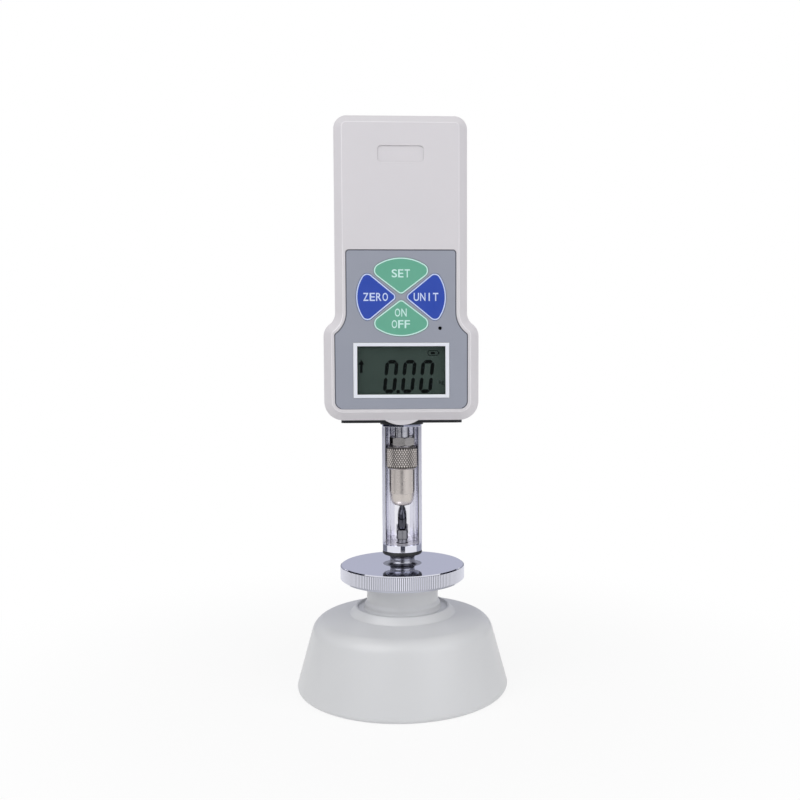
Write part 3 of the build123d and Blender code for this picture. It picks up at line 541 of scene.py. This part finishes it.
class PrintSettings(bpy.types.PropertyGroup):
    """Sizes of the print on the keys and of the display."""

    ink: length_setting("Ink", 0.03, "Thickness of the printed ink")
    border: length_setting("Border", 0.55, "Width of the border on each key")
    # Width of the painted shadow along the fascia's edge
    film_edge_shadow: length_setting("Film edge", 0.4, "Width of the dark line along the fascia's edge")
    letter_height: length_setting("Letter height", 3.7, "Height of the words on the keys")
    letter_pitch: length_setting("Letter pitch", 2.95, "Distance from letter to letter")
    letter_width: length_setting("Letter width", 2.45, "Width of one letter")
    digit_height: length_setting("Digit height", 15.2, "Height of a digit on the display")
    digit_width: length_setting("Digit width", 6.0, "Width of a digit on the display")
    digit_pitch: length_setting("Digit pitch", 8.29, "Distance from digit to digit")
    digit_stroke: length_setting("Segment width", 1.65, "Width of a segment")


class ChuckSettings(bpy.types.PropertyGroup):
    """Sizes of the knurl on the chuck's sleeve."""

    knurl_count: bpy.props.IntProperty(
        name="Diamonds", description="Diamonds round the knurl", default=36, min=8, max=80
    )
    knurl_rows: bpy.props.IntProperty(
        name="Rows", description="Rows of diamonds along the knurl", default=5, min=2, max=20
    )
    knurl_depth: length_setting("Knurl depth", 0.42, "Height of a diamond")
    knurl_length: length_setting("Knurl length", 11.0, "Length of the knurled band")
    knurl_edge: length_setting("Knurl edge", 0.7, "Chamfer at each end of the knurled band")
    barrel_radius: length_setting("Barrel radius", 6.0, "Radius of the plain part of the sleeve")
    nose_length: length_setting("Nose length", 5.8, "Length of the tapered nose")


class StudioSettings(bpy.types.PropertyGroup):
    """Light and background."""

    floor: colour_setting("Floor", "F7F7F7", "Floor and background")
    ambient: bpy.props.FloatProperty(
        name="Ambient", description="Strength of the light from all round", default=0.48, min=0.0
    )
    key_power: bpy.props.FloatProperty(
        name="Key light", description="Power of the large soft light", default=3.7, min=0.0, unit="POWER"
    )
    fill_power: bpy.props.FloatProperty(
        name="Fill light", description="Power of the second soft light", default=2.4, min=0.0, unit="POWER"
    )


SETTINGS = {
    "tester_finish": FinishSettings,
    "tester_print": PrintSettings,
    "tester_chuck": ChuckSettings,
    "tester_studio": StudioSettings,
}


# Mesh helpers

def select_none():
    """Deselect every object."""
    bpy.ops.object.select_all(action="DESELECT")


def activate(piece):
    """Select one object alone and make it active."""
    select_none()
    piece.select_set(True)
    bpy.context.view_layer.objects.active = piece


def edit_all():
    """Enter edit mode with the whole mesh selected."""
    bpy.ops.object.mode_set(mode="EDIT")
    bpy.ops.mesh.select_all(action="SELECT")


def leave_edit():
    """Leave edit mode."""
    bpy.ops.object.mode_set(mode="OBJECT")


def pick(piece, test, kind="VERT"):
    """Select the vertices, edges or faces of the active mesh that pass a test, and stay in edit mode."""
    bpy.ops.object.mode_set(mode="EDIT")
    bpy.ops.mesh.select_mode(type=kind)
    bpy.ops.mesh.select_all(action="DESELECT")
    leave_edit()
    mesh = piece.data
    for element in {"VERT": mesh.vertices, "EDGE": mesh.edges, "FACE": mesh.polygons}[kind]:
        element.select = test(element)
    bpy.ops.object.mode_set(mode="EDIT")


def cut_away(piece, test):
    """Delete the faces of the active mesh that pass a test."""
    pick(piece, test, "FACE")
    bpy.ops.mesh.delete(type="FACE")
    leave_edit()


def inset_line(width):
    """Turn the flat shape that is being edited into a line along its edge, and leave edit mode."""
    bpy.ops.mesh.select_all(action="SELECT")
    bpy.ops.mesh.inset(thickness=width, depth=0)
    bpy.ops.mesh.delete(type="FACE")
    leave_edit()


def stretch(x, y):
    """Scale what is selected away from the origin."""
    bpy.ops.transform.resize(value=(x, y, 1), center_override=(0, 0, 0))


def apply_modifier(piece, kind, **settings):
    """Add a modifier and apply it at once."""
    activate(piece)
    modifier = piece.modifiers.new(kind.title(), kind)
    for name, value in settings.items():
        setattr(modifier, name, value)
    bpy.ops.object.modifier_apply(modifier=modifier.name)
    return piece


def text_mesh(body, thickness, **settings):
    """Text as a mesh of a thickness."""
    bpy.ops.object.text_add()
    piece = bpy.context.object
    piece.data.body = body
    piece.data.extrude = thickness / 2
    for name, value in settings.items():
        setattr(piece.data, name, value)
    activate(piece)
    bpy.ops.object.convert(target="MESH")
    return piece


def join(pieces, name):
    """Join pieces into one and name it."""
    activate(pieces[0])
    for piece in pieces:
        piece.select_set(True)
    if len(pieces) > 1:
        bpy.ops.object.join()
    joined = bpy.context.view_layer.objects.active
    joined.name = name
    joined.data.name = name
    return joined


def settle(piece, matrix=Matrix.Identity(4)):
    """Put the piece's place into its mesh, so that the object stays at the origin."""
    piece.data.transform(matrix @ piece.matrix_world)
    piece.matrix_world = Matrix.Identity(4)
    piece.data.update()
    return piece


def facing(x, y, z):
    """Matrix that stands a flat drawing up to face the viewer at a point in millimetres."""
    return Matrix.Translation(Vector((x, y, z)) * MM) @ Matrix.Rotation(math.radians(90), 4, "X")


def finish_piece(piece, look, body):
    """Give a new piece its finish, body and material slot."""
    piece.data.materials.clear()
    piece.data.materials.append(look.material)
    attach(piece, body)
    return piece


def dress(look, *names):
    """Give CAD nodes a finish."""
    for name in names:
        slots = NODES[name].data.materials
        slots.clear()
        slots.append(look.material)


# Operators

class TESTER_OT_housing(bpy.types.Operator):
    """Finish the moulded shells, their screws and the socket cover"""

    bl_idname = "tester.housing"
    bl_label = "Housing"

    def execute(self, context):
        finish = context.scene.tester_finish
        dress(moulded_abs("moulded_abs_housing", finish.housing), "front_shell", "rear_shell")
        dress(zinc_plated_steel("zinc_plated_screws"), "case_screws", "plate_screws")
        dress(nitrile_rubber("rubber_cover", finish.rubber), "port_cover")
        dress(black_anodised_aluminium("black_anodised_plate", finish.black), "mounting_plate")
        return {"FINISHED"}


class TESTER_OT_keypad(bpy.types.Operator):
    """Finish the fascia and the keys, and print the keys' borders and words"""

    bl_idname = "tester.keypad"
    bl_label = "Keypad"

    KEY_SHEEN = 0.34        # lowest roughness of the keys
    LETTER_WEIGHT = 0.012   # growth of a letter's strokes, as a share of the type's size
    LETTER_STEPS = 6        # straight steps in a curve of a letter
    NARROW = 0.24           # width of the letter I beside the others

    def execute(self, context):
        finish = context.scene.tester_finish
        sizes = context.scene.tester_print
        dress(printed_polycarbonate("printed_film_fascia", finish.fascia, shaded_rim=True), "fascia")
        green_film = printed_polycarbonate("printed_film_green", finish.green, self.KEY_SHEEN)
        dress(green_film, "set_key", "power_key")
        blue_film = printed_polycarbonate("printed_film_blue", finish.blue, self.KEY_SHEEN)
        dress(blue_film, "zero_key", "unit_key")
        green_ink = screen_ink("screen_ink_green_keys", finish.green_print)
        blue_ink = screen_ink("screen_ink_blue_keys", finish.blue_print)
        # Ink and slot of each key, and its words with their places from its middle in millimetres
        words = {
            "set_key": (green_ink, "green_film", [("SET", -0.1, 1.0)]),
            "power_key": (green_ink, "green_film", [("ON", -0.2, 2.6), ("OFF", -0.2, -2.7)]),
            "zero_key": (blue_ink, "blue_film", [("ZERO", -0.1, 0.0)]),
            "unit_key": (blue_ink, "blue_film", [("UNIT", -0.2, 0.0)]),
        }
        for key, (ink, slot, rows) in words.items():
            border = self.border(key, f"{key}_border", sizes.border)
            finish_piece(self.print_on(border, sizes), ink, key)
            low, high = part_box(key)
            middle = (low + high) / 2
            letters = []
            for word, right, up in rows:
                letters += self.word(word, middle.x / MM + right, low.y / MM, middle.z / MM + up, sizes)
            finish_piece(join(letters, f"{key}_word"), ink, key)
        # Painted shadow along the fascia's top and sides, laid on as a dark strip
        edge_shadow_ink = screen_ink("painted_shadow_fascia_edge", finish.film_edge_shadow)
        finish_piece(self.film_edge_shadow(sizes), edge_shadow_ink, "base")
        return {"FINISHED"}

    def print_on(self, piece, sizes):
        """Give a flat line the thickness of the ink, outside the surface that it lies on."""
        return apply_modifier(piece, "SOLIDIFY", thickness=sizes.ink, offset=1.0)

    def film_edge_shadow(self, sizes):
        """Painted shadow along the film's edge, at the top and the sides, where the housing stands over it.
        """
        piece = self.border("fascia", "fascia_edge_shadow", sizes.film_edge_shadow)
        low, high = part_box("fascia")
        pick(piece, lambda v: v.co.z > high.z - NEAR)
        bpy.ops.mesh.select_linked()
        bpy.ops.mesh.select_all(action="INVERT")
        bpy.ops.mesh.delete(type="VERT")
        leave_edit()
        cut_away(piece, lambda f: f.center.z < low.z + sizes.film_edge_shadow)
        return self.print_on(piece, sizes)

    def border(self, node, name, width):
        """Line round a flat part, inset from a copy of its front face."""
        mesh = NODES[node].data.copy()
        piece = bpy.data.objects.new(name, mesh)
        bpy.context.scene.collection.objects.link(piece)
        activate(piece)
        edit_all()
        bpy.ops.mesh.remove_doubles(threshold=WELD)
        leave_edit()
        front = min(v.co.y for v in mesh.vertices)
        cut_away(piece, lambda f: f.center.y > front + NEAR)
        edit_all()
        bpy.ops.mesh.dissolve_limited(angle_limit=math.radians(1))
        inset_line(width)
        return piece

    def word(self, word, x, y, z, sizes):
        """Letters of equal width, each centred in its own cell."""
        letters = []
        for place, letter in enumerate(word):
            piece = text_mesh(letter, sizes.ink, offset=self.LETTER_WEIGHT, resolution_u=self.LETTER_STEPS)
            low, high = self.flat_box(piece)
            width = sizes.letter_width * (self.NARROW if letter == "I" else 1)
            centre = Matrix.Translation((-(low.x + high.x) / 2, -(low.y + high.y) / 2, 0))
            size = Matrix.Diagonal((width / (high.x - low.x), sizes.letter_height / (high.y - low.y), 1, 1))
            shift = (place - (len(word) - 1) / 2) * sizes.letter_pitch / MM
            letters.append(settle(piece, facing(x + shift, y - sizes.ink / MM / 2, z) @ size @ centre))
        return letters

    def flat_box(self, piece):
        """Lowest and highest corner of a flat mesh."""
        xs = [v.co.x for v in piece.data.vertices]
        ys = [v.co.y for v in piece.data.vertices]
        return Vector((min(xs), min(ys), 0)), Vector((max(xs), max(ys), 0))


class TESTER_OT_display(bpy.types.Operator):
    """Finish the display and draw its segments, arrow, battery sign and unit"""

    bl_idname = "tester.display"
    bl_label = "Display"

    SLANT = 6.1             # degrees by which a digit leans
    MITRE = 0.12 * MM       # gap between two segments at a corner
    WAIST = 0.45 * MM       # gap between two segments at the waist
    DIGITS = 3
    # Places in millimetres, right of and above the window's middle
    FIRST_DIGIT = (-4.98, -2.8)
    POINT = (-1.6, -9.75)
    ARROW_HEAD = (-18.45, 3.5)
    ARROW_SHAFT = (-18.45, 1.0)
    BATTERY_CASE = (14.6, 8.0)
    BATTERY_POLE = (17.35, 8.0)
    BATTERY_CELL = (14.5, 8.0)
    UNIT = (18.4, -5.5)

    def execute(self, context):
        finish = context.scene.tester_finish
        sizes = context.scene.tester_print
        dress(moulded_abs("moulded_abs_bezel", finish.bezel), "lcd_bezel")
        dress(display_glass("liquid_crystal_cell", finish.display), "lcd_module")
        dress(clear_acrylic("clear_acrylic_window"), "lcd_window")
        low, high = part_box("lcd_window")
        middle = (low + high) / 2 / MM
        face = (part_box("lcd_module")[0].y - sizes.ink) / MM

        def spot(place, shift=0.0):
            """Matrix that puts a drawing on the display, at a place from the window's middle."""
            return facing(middle.x + place[0] + shift, face, middle.z + place[1])

        shapes = []
        for place in range(self.DIGITS):
            shapes += self.digit(spot(self.FIRST_DIGIT, place * sizes.digit_pitch / MM), sizes)
        point = apply_modifier(self.block(1.5, 1.5), "BEVEL", affect="VERTICES", width=0.3 * MM, segments=2)
        shapes.append(self.lay(point, spot(self.POINT), sizes))
        bpy.ops.mesh.primitive_circle_add(vertices=3, radius=1.6 * MM, fill_type="NGON")
        shapes.append(self.lay(bpy.context.object, spot(self.ARROW_HEAD), sizes))
        shapes.append(self.lay(self.block(1.1, 4.2), spot(self.ARROW_SHAFT), sizes))
        shapes.append(self.lay(self.battery_case(), spot(self.BATTERY_CASE), sizes))
        shapes.append(self.lay(self.block(0.35, 1.1), spot(self.BATTERY_POLE), sizes))
        shapes.append(self.lay(self.block(1.9, 1.0), spot(self.BATTERY_CELL), sizes))
        unit = text_mesh("kg", sizes.ink, size=2.4 * MM, align_x="CENTER", align_y="CENTER")
        shapes.append(settle(unit, spot(self.UNIT)))
        ink = screen_ink("dark_segments", finish.segments, 0.1)
        finish_piece(join(shapes, "display_segments"), ink, "base")
        return {"FINISHED"}

    def lay(self, piece, spot, sizes):
        """Give a flat shape the thickness of a film and lay it on the display."""
        return settle(apply_modifier(piece, "SOLIDIFY", thickness=sizes.ink, offset=0.0), spot)

    def block(self, width, height):
        """Flat rectangle, in millimetres."""
        bpy.ops.mesh.primitive_plane_add(size=1 * MM)
        edit_all()
        stretch(width, height)
        leave_edit()
        return bpy.context.object

    def battery_case(self):
        """Rounded outline of the battery sign."""
        case = apply_modifier(self.block(5.0, 2.4), "BEVEL", affect="VERTICES", width=0.8 * MM, segments=4)
        edit_all()
        inset_line(0.3 * MM)
        return case

    def bar(self, length, sizes):
        """Flat segment with pointed ends, from a hexagon pulled apart."""
        bpy.ops.mesh.primitive_circle_add(vertices=6, radius=1, fill_type="NGON")
        piece = bpy.context.object
        edit_all()
        bpy.ops.transform.rotate(value=math.radians(30), orient_axis="Z", center_override=(0, 0, 0))
        stretch(sizes.digit_stroke, sizes.digit_stroke / math.sqrt(3))
        leave_edit()
        widest = max(abs(v.co.x) for v in piece.data.vertices)
        for side in (-1, 1):
            pick(piece, lambda v, side=side: v.co.x * side > 0)
            bpy.ops.transform.translate(value=(side * (length / 2 - widest), 0, 0))
            leave_edit()
        return piece

    def digit(self, spot, sizes):
        """Slanted nought of six segments, mitred at its corners and parted at its waist."""
        reach_x = (sizes.digit_width - sizes.digit_stroke) / 2
        reach_z = (sizes.digit_height - sizes.digit_stroke) / 2
        upright = reach_z - self.MITRE - self.WAIST
        rise = (reach_z - self.MITRE + self.WAIST) / 2
        lean = Matrix.Identity(4)
        lean[0][1] = math.tan(math.radians(self.SLANT))
        quarter_turn = Matrix.Rotation(math.radians(90), 4, "Z")
        shapes = []
        for side in (-1, 1):
            level = self.bar(2 * (reach_x - self.MITRE), sizes)
            place = Matrix.Translation((0, side * reach_z, 0))
            shapes.append(self.lay(level, spot @ lean @ place, sizes))
            for right in (-1, 1):
                stroke = self.bar(upright, sizes)
                place = Matrix.Translation((right * reach_x, side * rise, 0))
                shapes.append(self.lay(stroke, spot @ lean @ place @ quarter_turn, sizes))
        return shapes


class TESTER_OT_base(bpy.types.Operator):
    """Finish the base casting and the stem's fastening"""

    bl_idname = "tester.base"
    bl_label = "Base"

    def execute(self, context):
        finish = context.scene.tester_finish
        dress(enamelled_iron("enamelled_iron_base", finish.casting), "base_casting")
        dress(zinc_plated_steel("zinc_plated_nut"), "stem_nut", "stem_washer")
        dress(tin_bronze("bronze_bearing"), "thrust_washer", "lift_ring")
        return {"FINISHED"}


class TESTER_OT_column(bpy.types.Operator):
    """Finish the handwheel, the column tube, its foot, the O-ring and the anvil"""

    bl_idname = "tester.column"
    bl_label = "Column and handwheel"

    def execute(self, context):
        finish = context.scene.tester_finish
        groove_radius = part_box("handwheel")[1].x / MM - RIM_KNURL
        dress(knurled_chrome("bright_chrome_wheel", finish.chrome, groove_radius), "handwheel")
        dress(bored_chrome("bright_chrome_tube", finish.chrome, finish.bore), "column_tube")
        foot = floored_steel("turned_steel_foot", finish.foot, finish.lit_foot_floor)
        dress(foot, "column_foot", "cross_pin")
        dress(nitrile_rubber("rubber_oring", finish.rubber), "column_oring")
        dress(turned_steel("turned_steel_anvil", finish.anvil), "anvil")
        return {"FINISHED"}


class TESTER_OT_chuck(bpy.types.Operator):
    """Finish the shaft and the chuck, and model the knurled closing sleeve"""

    bl_idname = "tester.chuck"
    bl_label = "Chuck"

    # Millimetres of the sleeve: its nose as radius and height from the tip up, then its other sizes
    NOSE = ((2.8, 0.0), (4.0, 0.4), (4.9, 1.4), (5.5, 3.2))
    NOSE_TOP_RADIUS = 5.75
    BARREL_CHAMFER = 0.12
    BORE_RADIUS = 5.15
    BORE_DEPTH = 4.0
    MOUTH_RADIUS = 2.4
    MOUTH_DEPTH = 1.0
    ROUND_STEPS = 80        # flats round the turned part

    def execute(self, context):
        finish = context.scene.tester_finish
        sizes = context.scene.tester_chuck
        steel = turned_steel("turned_steel_shaft", finish.steel)
        dress(steel, "measuring_shaft", "chuck_body", "chuck_collet")
        dress(satin_nickel("satin_nickel_chuck", finish.nickel), "chuck_sleeve")
        dress(turned_steel("turned_steel_nut", finish.nut), "lock_nut")
        dress(hardened_tip("hardened_steel_tip", finish.tip), "presser_tip")
        low, high = (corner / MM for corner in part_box("chuck_sleeve"))
        depth = sizes.knurl_depth / MM
        edge = sizes.knurl_edge / MM
        barrel = sizes.barrel_radius / MM
        band = high.x - depth
        knurl_low = high.z - sizes.knurl_length / MM
        nose_top = low.z + sizes.nose_length / MM
        profile = [
            *((radius, low.z + height) for radius, height in self.NOSE),
            (self.NOSE_TOP_RADIUS, nose_top),
            (barrel - self.BARREL_CHAMFER, nose_top),
            (barrel, nose_top + self.BARREL_CHAMFER),
            (barrel, knurl_low),
            (band - edge, knurl_low),
            (band, knurl_low + edge),
            (band, high.z - edge),
            (band - edge, high.z),
            (self.BORE_RADIUS, high.z),
            (self.BORE_RADIUS, high.z - self.BORE_DEPTH),
            (self.MOUTH_RADIUS, low.z + self.MOUTH_DEPTH),
            (self.MOUTH_RADIUS, low.z),
        ]
        body = self.turned("chuck_sleeve_body", profile)
        skin = self.knurl("chuck_sleeve_knurl", band, knurl_low + edge, high.z - edge, sizes)
        knurled = satin_nickel("satin_nickel_knurl", finish.nickel, band, depth)
        sleeve = join([body, skin], "knurled_chuck_sleeve")
        finish_piece(sleeve, knurled, "chuck_sleeve")
        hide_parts("chuck_sleeve")
        return {"FINISHED"}

    def ring(self, name, vertices, radius, level):
        """Open ring at a level in millimetres, in edit mode with its edges selected."""
        bpy.ops.mesh.primitive_circle_add(vertices=vertices, radius=radius * MM, location=(0, 0, level * MM))
        piece = bpy.context.object
        piece.name = name
        settle(piece)
        edit_all()
        bpy.ops.mesh.select_mode(type="EDGE")
        bpy.ops.mesh.select_all(action="SELECT")
        return piece

    def face_outwards(self):
        """Turn every face of the mesh that is being edited outwards, and leave edit mode."""
        bpy.ops.mesh.select_all(action="SELECT")
        bpy.ops.mesh.normals_make_consistent(inside=False)
        leave_edit()

    def turned(self, name, profile):
        """Turned part: a ring drawn up and down its profile, then closed."""
        piece = self.ring(name, self.ROUND_STEPS, *profile[0])
        for (r0, z0), (r1, z1) in zip(profile, profile[1:]):
            bpy.ops.mesh.extrude_edges_move()
            stretch(r1 / r0, r1 / r0)
            bpy.ops.transform.translate(value=(0, 0, (z1 - z0) * MM))
        leave_edit()
        ends = (profile[0], profile[-1])
        pick(piece, lambda v: any(
            abs(math.hypot(v.co.x, v.co.y) - r * MM) < NEAR and abs(v.co.z - z * MM) < NEAR
            for r, z in ends
        ))
        bpy.ops.mesh.select_mode(type="EDGE")
        bpy.ops.mesh.bridge_edge_loops()
        self.face_outwards()
        activate(piece)
        bpy.ops.object.shade_smooth_by_angle(angle=math.radians(25))
        return piece

    def knurl(self, name, radius, low, high, sizes):
        """Diamond knurl: a grid turned to diamonds, each drawn up to a point."""
        step = (high - low) / sizes.knurl_rows * MM
        piece = self.ring(name, sizes.knurl_count, radius, low)
        for _ in range(sizes.knurl_rows):
            bpy.ops.mesh.extrude_edges_move()
            bpy.ops.transform.translate(value=(0, 0, step))
        self.face_outwards()
        mesh = piece.data
        corners = len(mesh.vertices)
        pick(piece, lambda f: True, "FACE")
        bpy.ops.mesh.poke(offset=sizes.knurl_depth * 0.1)
        leave_edit()
        # Each line of the grid goes, but not at the two ends, so that the triangles beside it pair up
        first, last = low * MM + step * 0.3, high * MM - step * 0.3
        pick(
            piece,
            lambda e: max(e.vertices) < corners
            and first < sum(mesh.vertices[i].co.z for i in e.vertices) / 2 < last,
            "EDGE",
        )
        bpy.ops.mesh.dissolve_edges(use_verts=False)
        leave_edit()
        pick(piece, lambda f: len(f.vertices) == 4, "FACE")
        bpy.ops.mesh.poke(offset=sizes.knurl_depth)
        leave_edit()
        return piece


class TESTER_OT_electronics(bpy.types.Operator):
    """Finish what lies inside the gauge"""

    bl_idname = "tester.electronics"
    bl_label = "Inside parts"

    def execute(self, context):
        dress(solder_mask("solder_mask_board"), "circuit_board")
        dress(zinc_plated_steel("zinc_plated_small_screws"), "board_screws", "cell_bolt")
        dress(black_nylon("black_nylon_parts"), "key_switches", "sounder", "charging_socket")
        dress(shrink_film("shrink_film_battery"), "battery_pack")
        dress(milled_aluminium("milled_aluminium_frame"), "sensor_frame", "load_cell")
        return {"FINISHED"}


class TESTER_OT_studio(bpy.types.Operator):
    """Set the floor, the light and the camera"""

    bl_idname = "tester.studio"
    bl_label = "Studio"

    # Places and size of the soft lights in metres, and the point that they look at
    KEY_PLACE = (-0.55, -0.5, 0.75)
    FILL_PLACE = (0.6, -0.55, 0.5)
    LIGHT_SIZE = 0.8
    LIGHT_AIM = (0, 0, 0.13)
    FLOOR_RADIUS = 6
    # Name, radius, foot and top in metres, start and end in degrees from the front, and the colours
    # of foot and top where they differ
    CARDS = (
        ("room_left", 1.02, 0.1, 1.0, -140, 0, "C4C4CE", "DCDCE6"),
        ("room_right", 1.02, 0.1, 1.0, 0, 140, "B4B5C0", "D0D2DE"),
        ("room_low_left", 1.0, 0.043, 0.12, -140, -1, "181A26"),
        ("room_low_right", 1.0, 0.062, 0.12, -1, 140, "8E909F"),
        ("front_stand", 0.32, 0.045, 0.3, -12, 10, "343642"),
        ("front_foot", 0.32, 0.0, 0.014, -10, 16, "343642"),
        ("side_shadow", 0.57, 0.0, 0.2, -76, -68, "3A3C48"),
        ("bench_left", 0.3, 0.0, 0.014, -155, -98, "7C7E8A"),
        ("bench_right", 0.3, 0.0, 0.014, 90, 155, "A4A6B2"),
        ("stand_left", 0.3, 0.2, 0.4, -166, -100, "20222C"),
        ("stand_right", 0.3, 0.2, 0.4, 100, 166, "20222C"),
        ("backdrop_right", 0.45, 0.0, 0.6, 140, 180, "BABCCB", "D2D4E0"),
        ("backdrop_left", 0.45, 0.0, 0.6, -180, -140, "BABCCB", "D2D4E0"),
    )
    # Width of the photograph, and the camera's focal length and shift, in pixels of the photograph
    PHOTO_PIXELS = 800
    FOCAL_PIXELS = 831
    SHIFT_PIXELS = -35
    # The camera's sensor in millimetres, its place in metres, and its pan, tilt and roll in degrees
    SENSOR = 36.0
    CAMERA_PLACE = (0, -0.4, 0.1453)
    CAMERA_ANGLES = (2.3, 1.2, -0.23)

    def execute(self, context):
        settings = context.scene.tester_studio
        context.scene.view_settings.view_transform = "Standard"
        self.floor(settings)
        self.world(context.scene, settings)
        self.soft_light("key_light", self.KEY_PLACE, settings.key_power)
        self.soft_light("fill_light", self.FILL_PLACE, settings.fill_power)
        for card in self.CARDS:
            self.card(*card)
        self.camera(context.scene)
        return {"FINISHED"}

    def floor(self, settings):
        """Pale floor that keeps the object's shadow and runs out into the white background."""
        bpy.ops.mesh.primitive_circle_add(vertices=96, radius=self.FLOOR_RADIUS, fill_type="NGON")
        floor = bpy.context.object
        floor.name = "floor"
        look = start_material("matt_paper_floor", roughness=0.9)
        tint(look, settings.floor, spread=0.004, size=500)
        tree = look.tree
        rays = add_node(tree, "ShaderNodeLightPath").outputs
        mirrored = 0.8
        seen = maths(
            tree, "MULTIPLY_ADD", rays["Is Glossy Ray"], mirrored, rays["Is Camera Ray"], use_clamp=True
        )
        # The floor's own glow grows with the distance from the object, and hides its far edge
        reach = add_node(tree, "ShaderNodeVectorMath", {0: look.place}, operation="LENGTH").outputs["Value"]
        fade = carry(tree, reach, 0.06, 0.28, 0.85, 1.0, interpolation_type="SMOOTHSTEP")
        glow = add_node(tree, "ShaderNodeEmission", {"Color": (1, 1, 1, 1), "Strength": 1.0})
        inputs = {0: maths(tree, "MULTIPLY", seen, fade), 1: look.shader.outputs[0], 2: glow.outputs[0]}
        mix = add_node(tree, "ShaderNodeMixShader", inputs)
        tree.links.new(mix.outputs[0], tree.nodes["Material Output"].inputs["Surface"])
        floor.data.materials.append(look.material)

    def card(self, name, radius, foot, top, start, end, foot_colour, top_colour=None):
        """Curved card that only polished surfaces see; its colour runs from its foot to its top."""
        bpy.ops.mesh.primitive_cylinder_add(
            vertices=180,
            radius=radius,
            depth=top - foot,
            end_fill_type="NOTHING",
            location=(0, 0, (foot + top) / 2),
        )
        card = bpy.context.object
        card.name = name
        settle(card)
        cut_away(card, lambda f: not start <= math.degrees(math.atan2(f.center.x, -f.center.y)) <= end)
        look = start_material(f"card_{name}")
        tree = look.tree
        rise = carry(tree, along(tree, look.place, "Z"), foot, top, interpolation_type="SMOOTHSTEP")
        colours = [shade(linear(code)) for code in (foot_colour, top_colour or foot_colour)]
        glow = add_node(tree, "ShaderNodeEmission", {"Color": blend(tree, rise, *colours)})
        tree.links.new(glow.outputs[0], tree.nodes["Material Output"].inputs["Surface"])
        card.data.materials.append(look.material)
        for ray in ("camera", "diffuse", "transmission", "shadow"):
            setattr(card, f"visible_{ray}", False)

    def world(self, scene, settings):
        """White behind the object and in its reflections, and an even light from all round."""
        world = bpy.data.worlds.new("studio_world")
        scene.world = world
        world.use_nodes = True
        tree = world.node_tree
        rays = add_node(tree, "ShaderNodeLightPath").outputs
        seen = rays["Is Camera Ray"]
        for kind in ("Is Glossy Ray", "Is Transmission Ray"):
            seen = maths(tree, "MAXIMUM", seen, rays[kind])
        strength = carry(tree, seen, 0.0, 1.0, start=settings.ambient)
        background = tree.nodes["Background"]
        background.inputs["Color"].default_value = (1, 1, 1, 1)
        tree.links.new(strength, background.inputs["Strength"])

    def soft_light(self, name, place, power):
        """Square area light that looks at the middle of the object."""
        lamp = bpy.data.lights.new(name, "AREA")
        lamp.shape = "SQUARE"
        lamp.size = self.LIGHT_SIZE
        lamp.energy = power
        light = bpy.data.objects.new(name, lamp)
        bpy.context.scene.collection.objects.link(light)
        light.location = place
        aim = Vector(self.LIGHT_AIM) - Vector(place)
        light.rotation_euler = aim.to_track_quat("-Z", "Y").to_euler()

    def camera(self, scene):
        """Camera at the photograph's height, distance and angle."""
        pan, tilt, roll = (math.radians(angle) for angle in self.CAMERA_ANGLES)
        forward = Vector((math.sin(pan) * math.cos(tilt), math.cos(pan) * math.cos(tilt), -math.sin(tilt)))
        level = Vector((math.cos(pan), -math.sin(pan), 0))
        rise = level.cross(forward)
        right = level * math.cos(roll) + rise * math.sin(roll)
        up = rise * math.cos(roll) - level * math.sin(roll)
        lens = bpy.data.cameras.new("camera")
        lens.sensor_width = self.SENSOR
        lens.lens = self.FOCAL_PIXELS / self.PHOTO_PIXELS * self.SENSOR
        lens.shift_x = self.SHIFT_PIXELS / self.PHOTO_PIXELS
        lens.clip_start = 0.01
        camera = bpy.data.objects.new("camera", lens)
        scene.collection.objects.link(camera)
        turn = Matrix((right, up, -forward)).transposed().to_4x4()
        camera.matrix_world = Matrix.Translation(self.CAMERA_PLACE) @ turn
        scene.camera = camera


class TESTER_PT_panel(bpy.types.Panel):
    """Lists the steps in the sidebar"""

    bl_idname = "TESTER_PT_panel"
    bl_label = "Grain hardness tester"
    bl_space_type = "VIEW_3D"
    bl_region_type = "UI"
    bl_category = "Tester"

    def draw(self, context):
        column = self.layout.column()
        for step in STEPS:
            column.operator(step.bl_idname)
        for name, group in SETTINGS.items():
            box = self.layout.box()
            for field in group.__annotations__:
                box.prop(getattr(context.scene, name), field)


STEPS = (
    TESTER_OT_studio,
    TESTER_OT_housing,
    TESTER_OT_keypad,
    TESTER_OT_display,
    TESTER_OT_base,
    TESTER_OT_column,
    TESTER_OT_chuck,
    TESTER_OT_electronics,
)


def register():
    """Register the settings, the operators and the panel."""
    for name, group in SETTINGS.items():
        bpy.utils.register_class(group)
        setattr(bpy.types.Scene, name, bpy.props.PointerProperty(type=group))
    for step in STEPS:
        bpy.utils.register_class(step)
    bpy.utils.register_class(TESTER_PT_panel)


def unregister():
    """Undo register."""
    bpy.utils.unregister_class(TESTER_PT_panel)
    for step in reversed(STEPS):
        bpy.utils.unregister_class(step)
    for name, group in SETTINGS.items():
        delattr(bpy.types.Scene, name)
        bpy.utils.unregister_class(group)


def main():
    """Register everything, then run every step in order."""
    register()
    select_none()
    for step in STEPS:
        area, name = step.bl_idname.split(".")
        getattr(getattr(bpy.ops, area), name)()


if __name__ == "__main__":
    main()
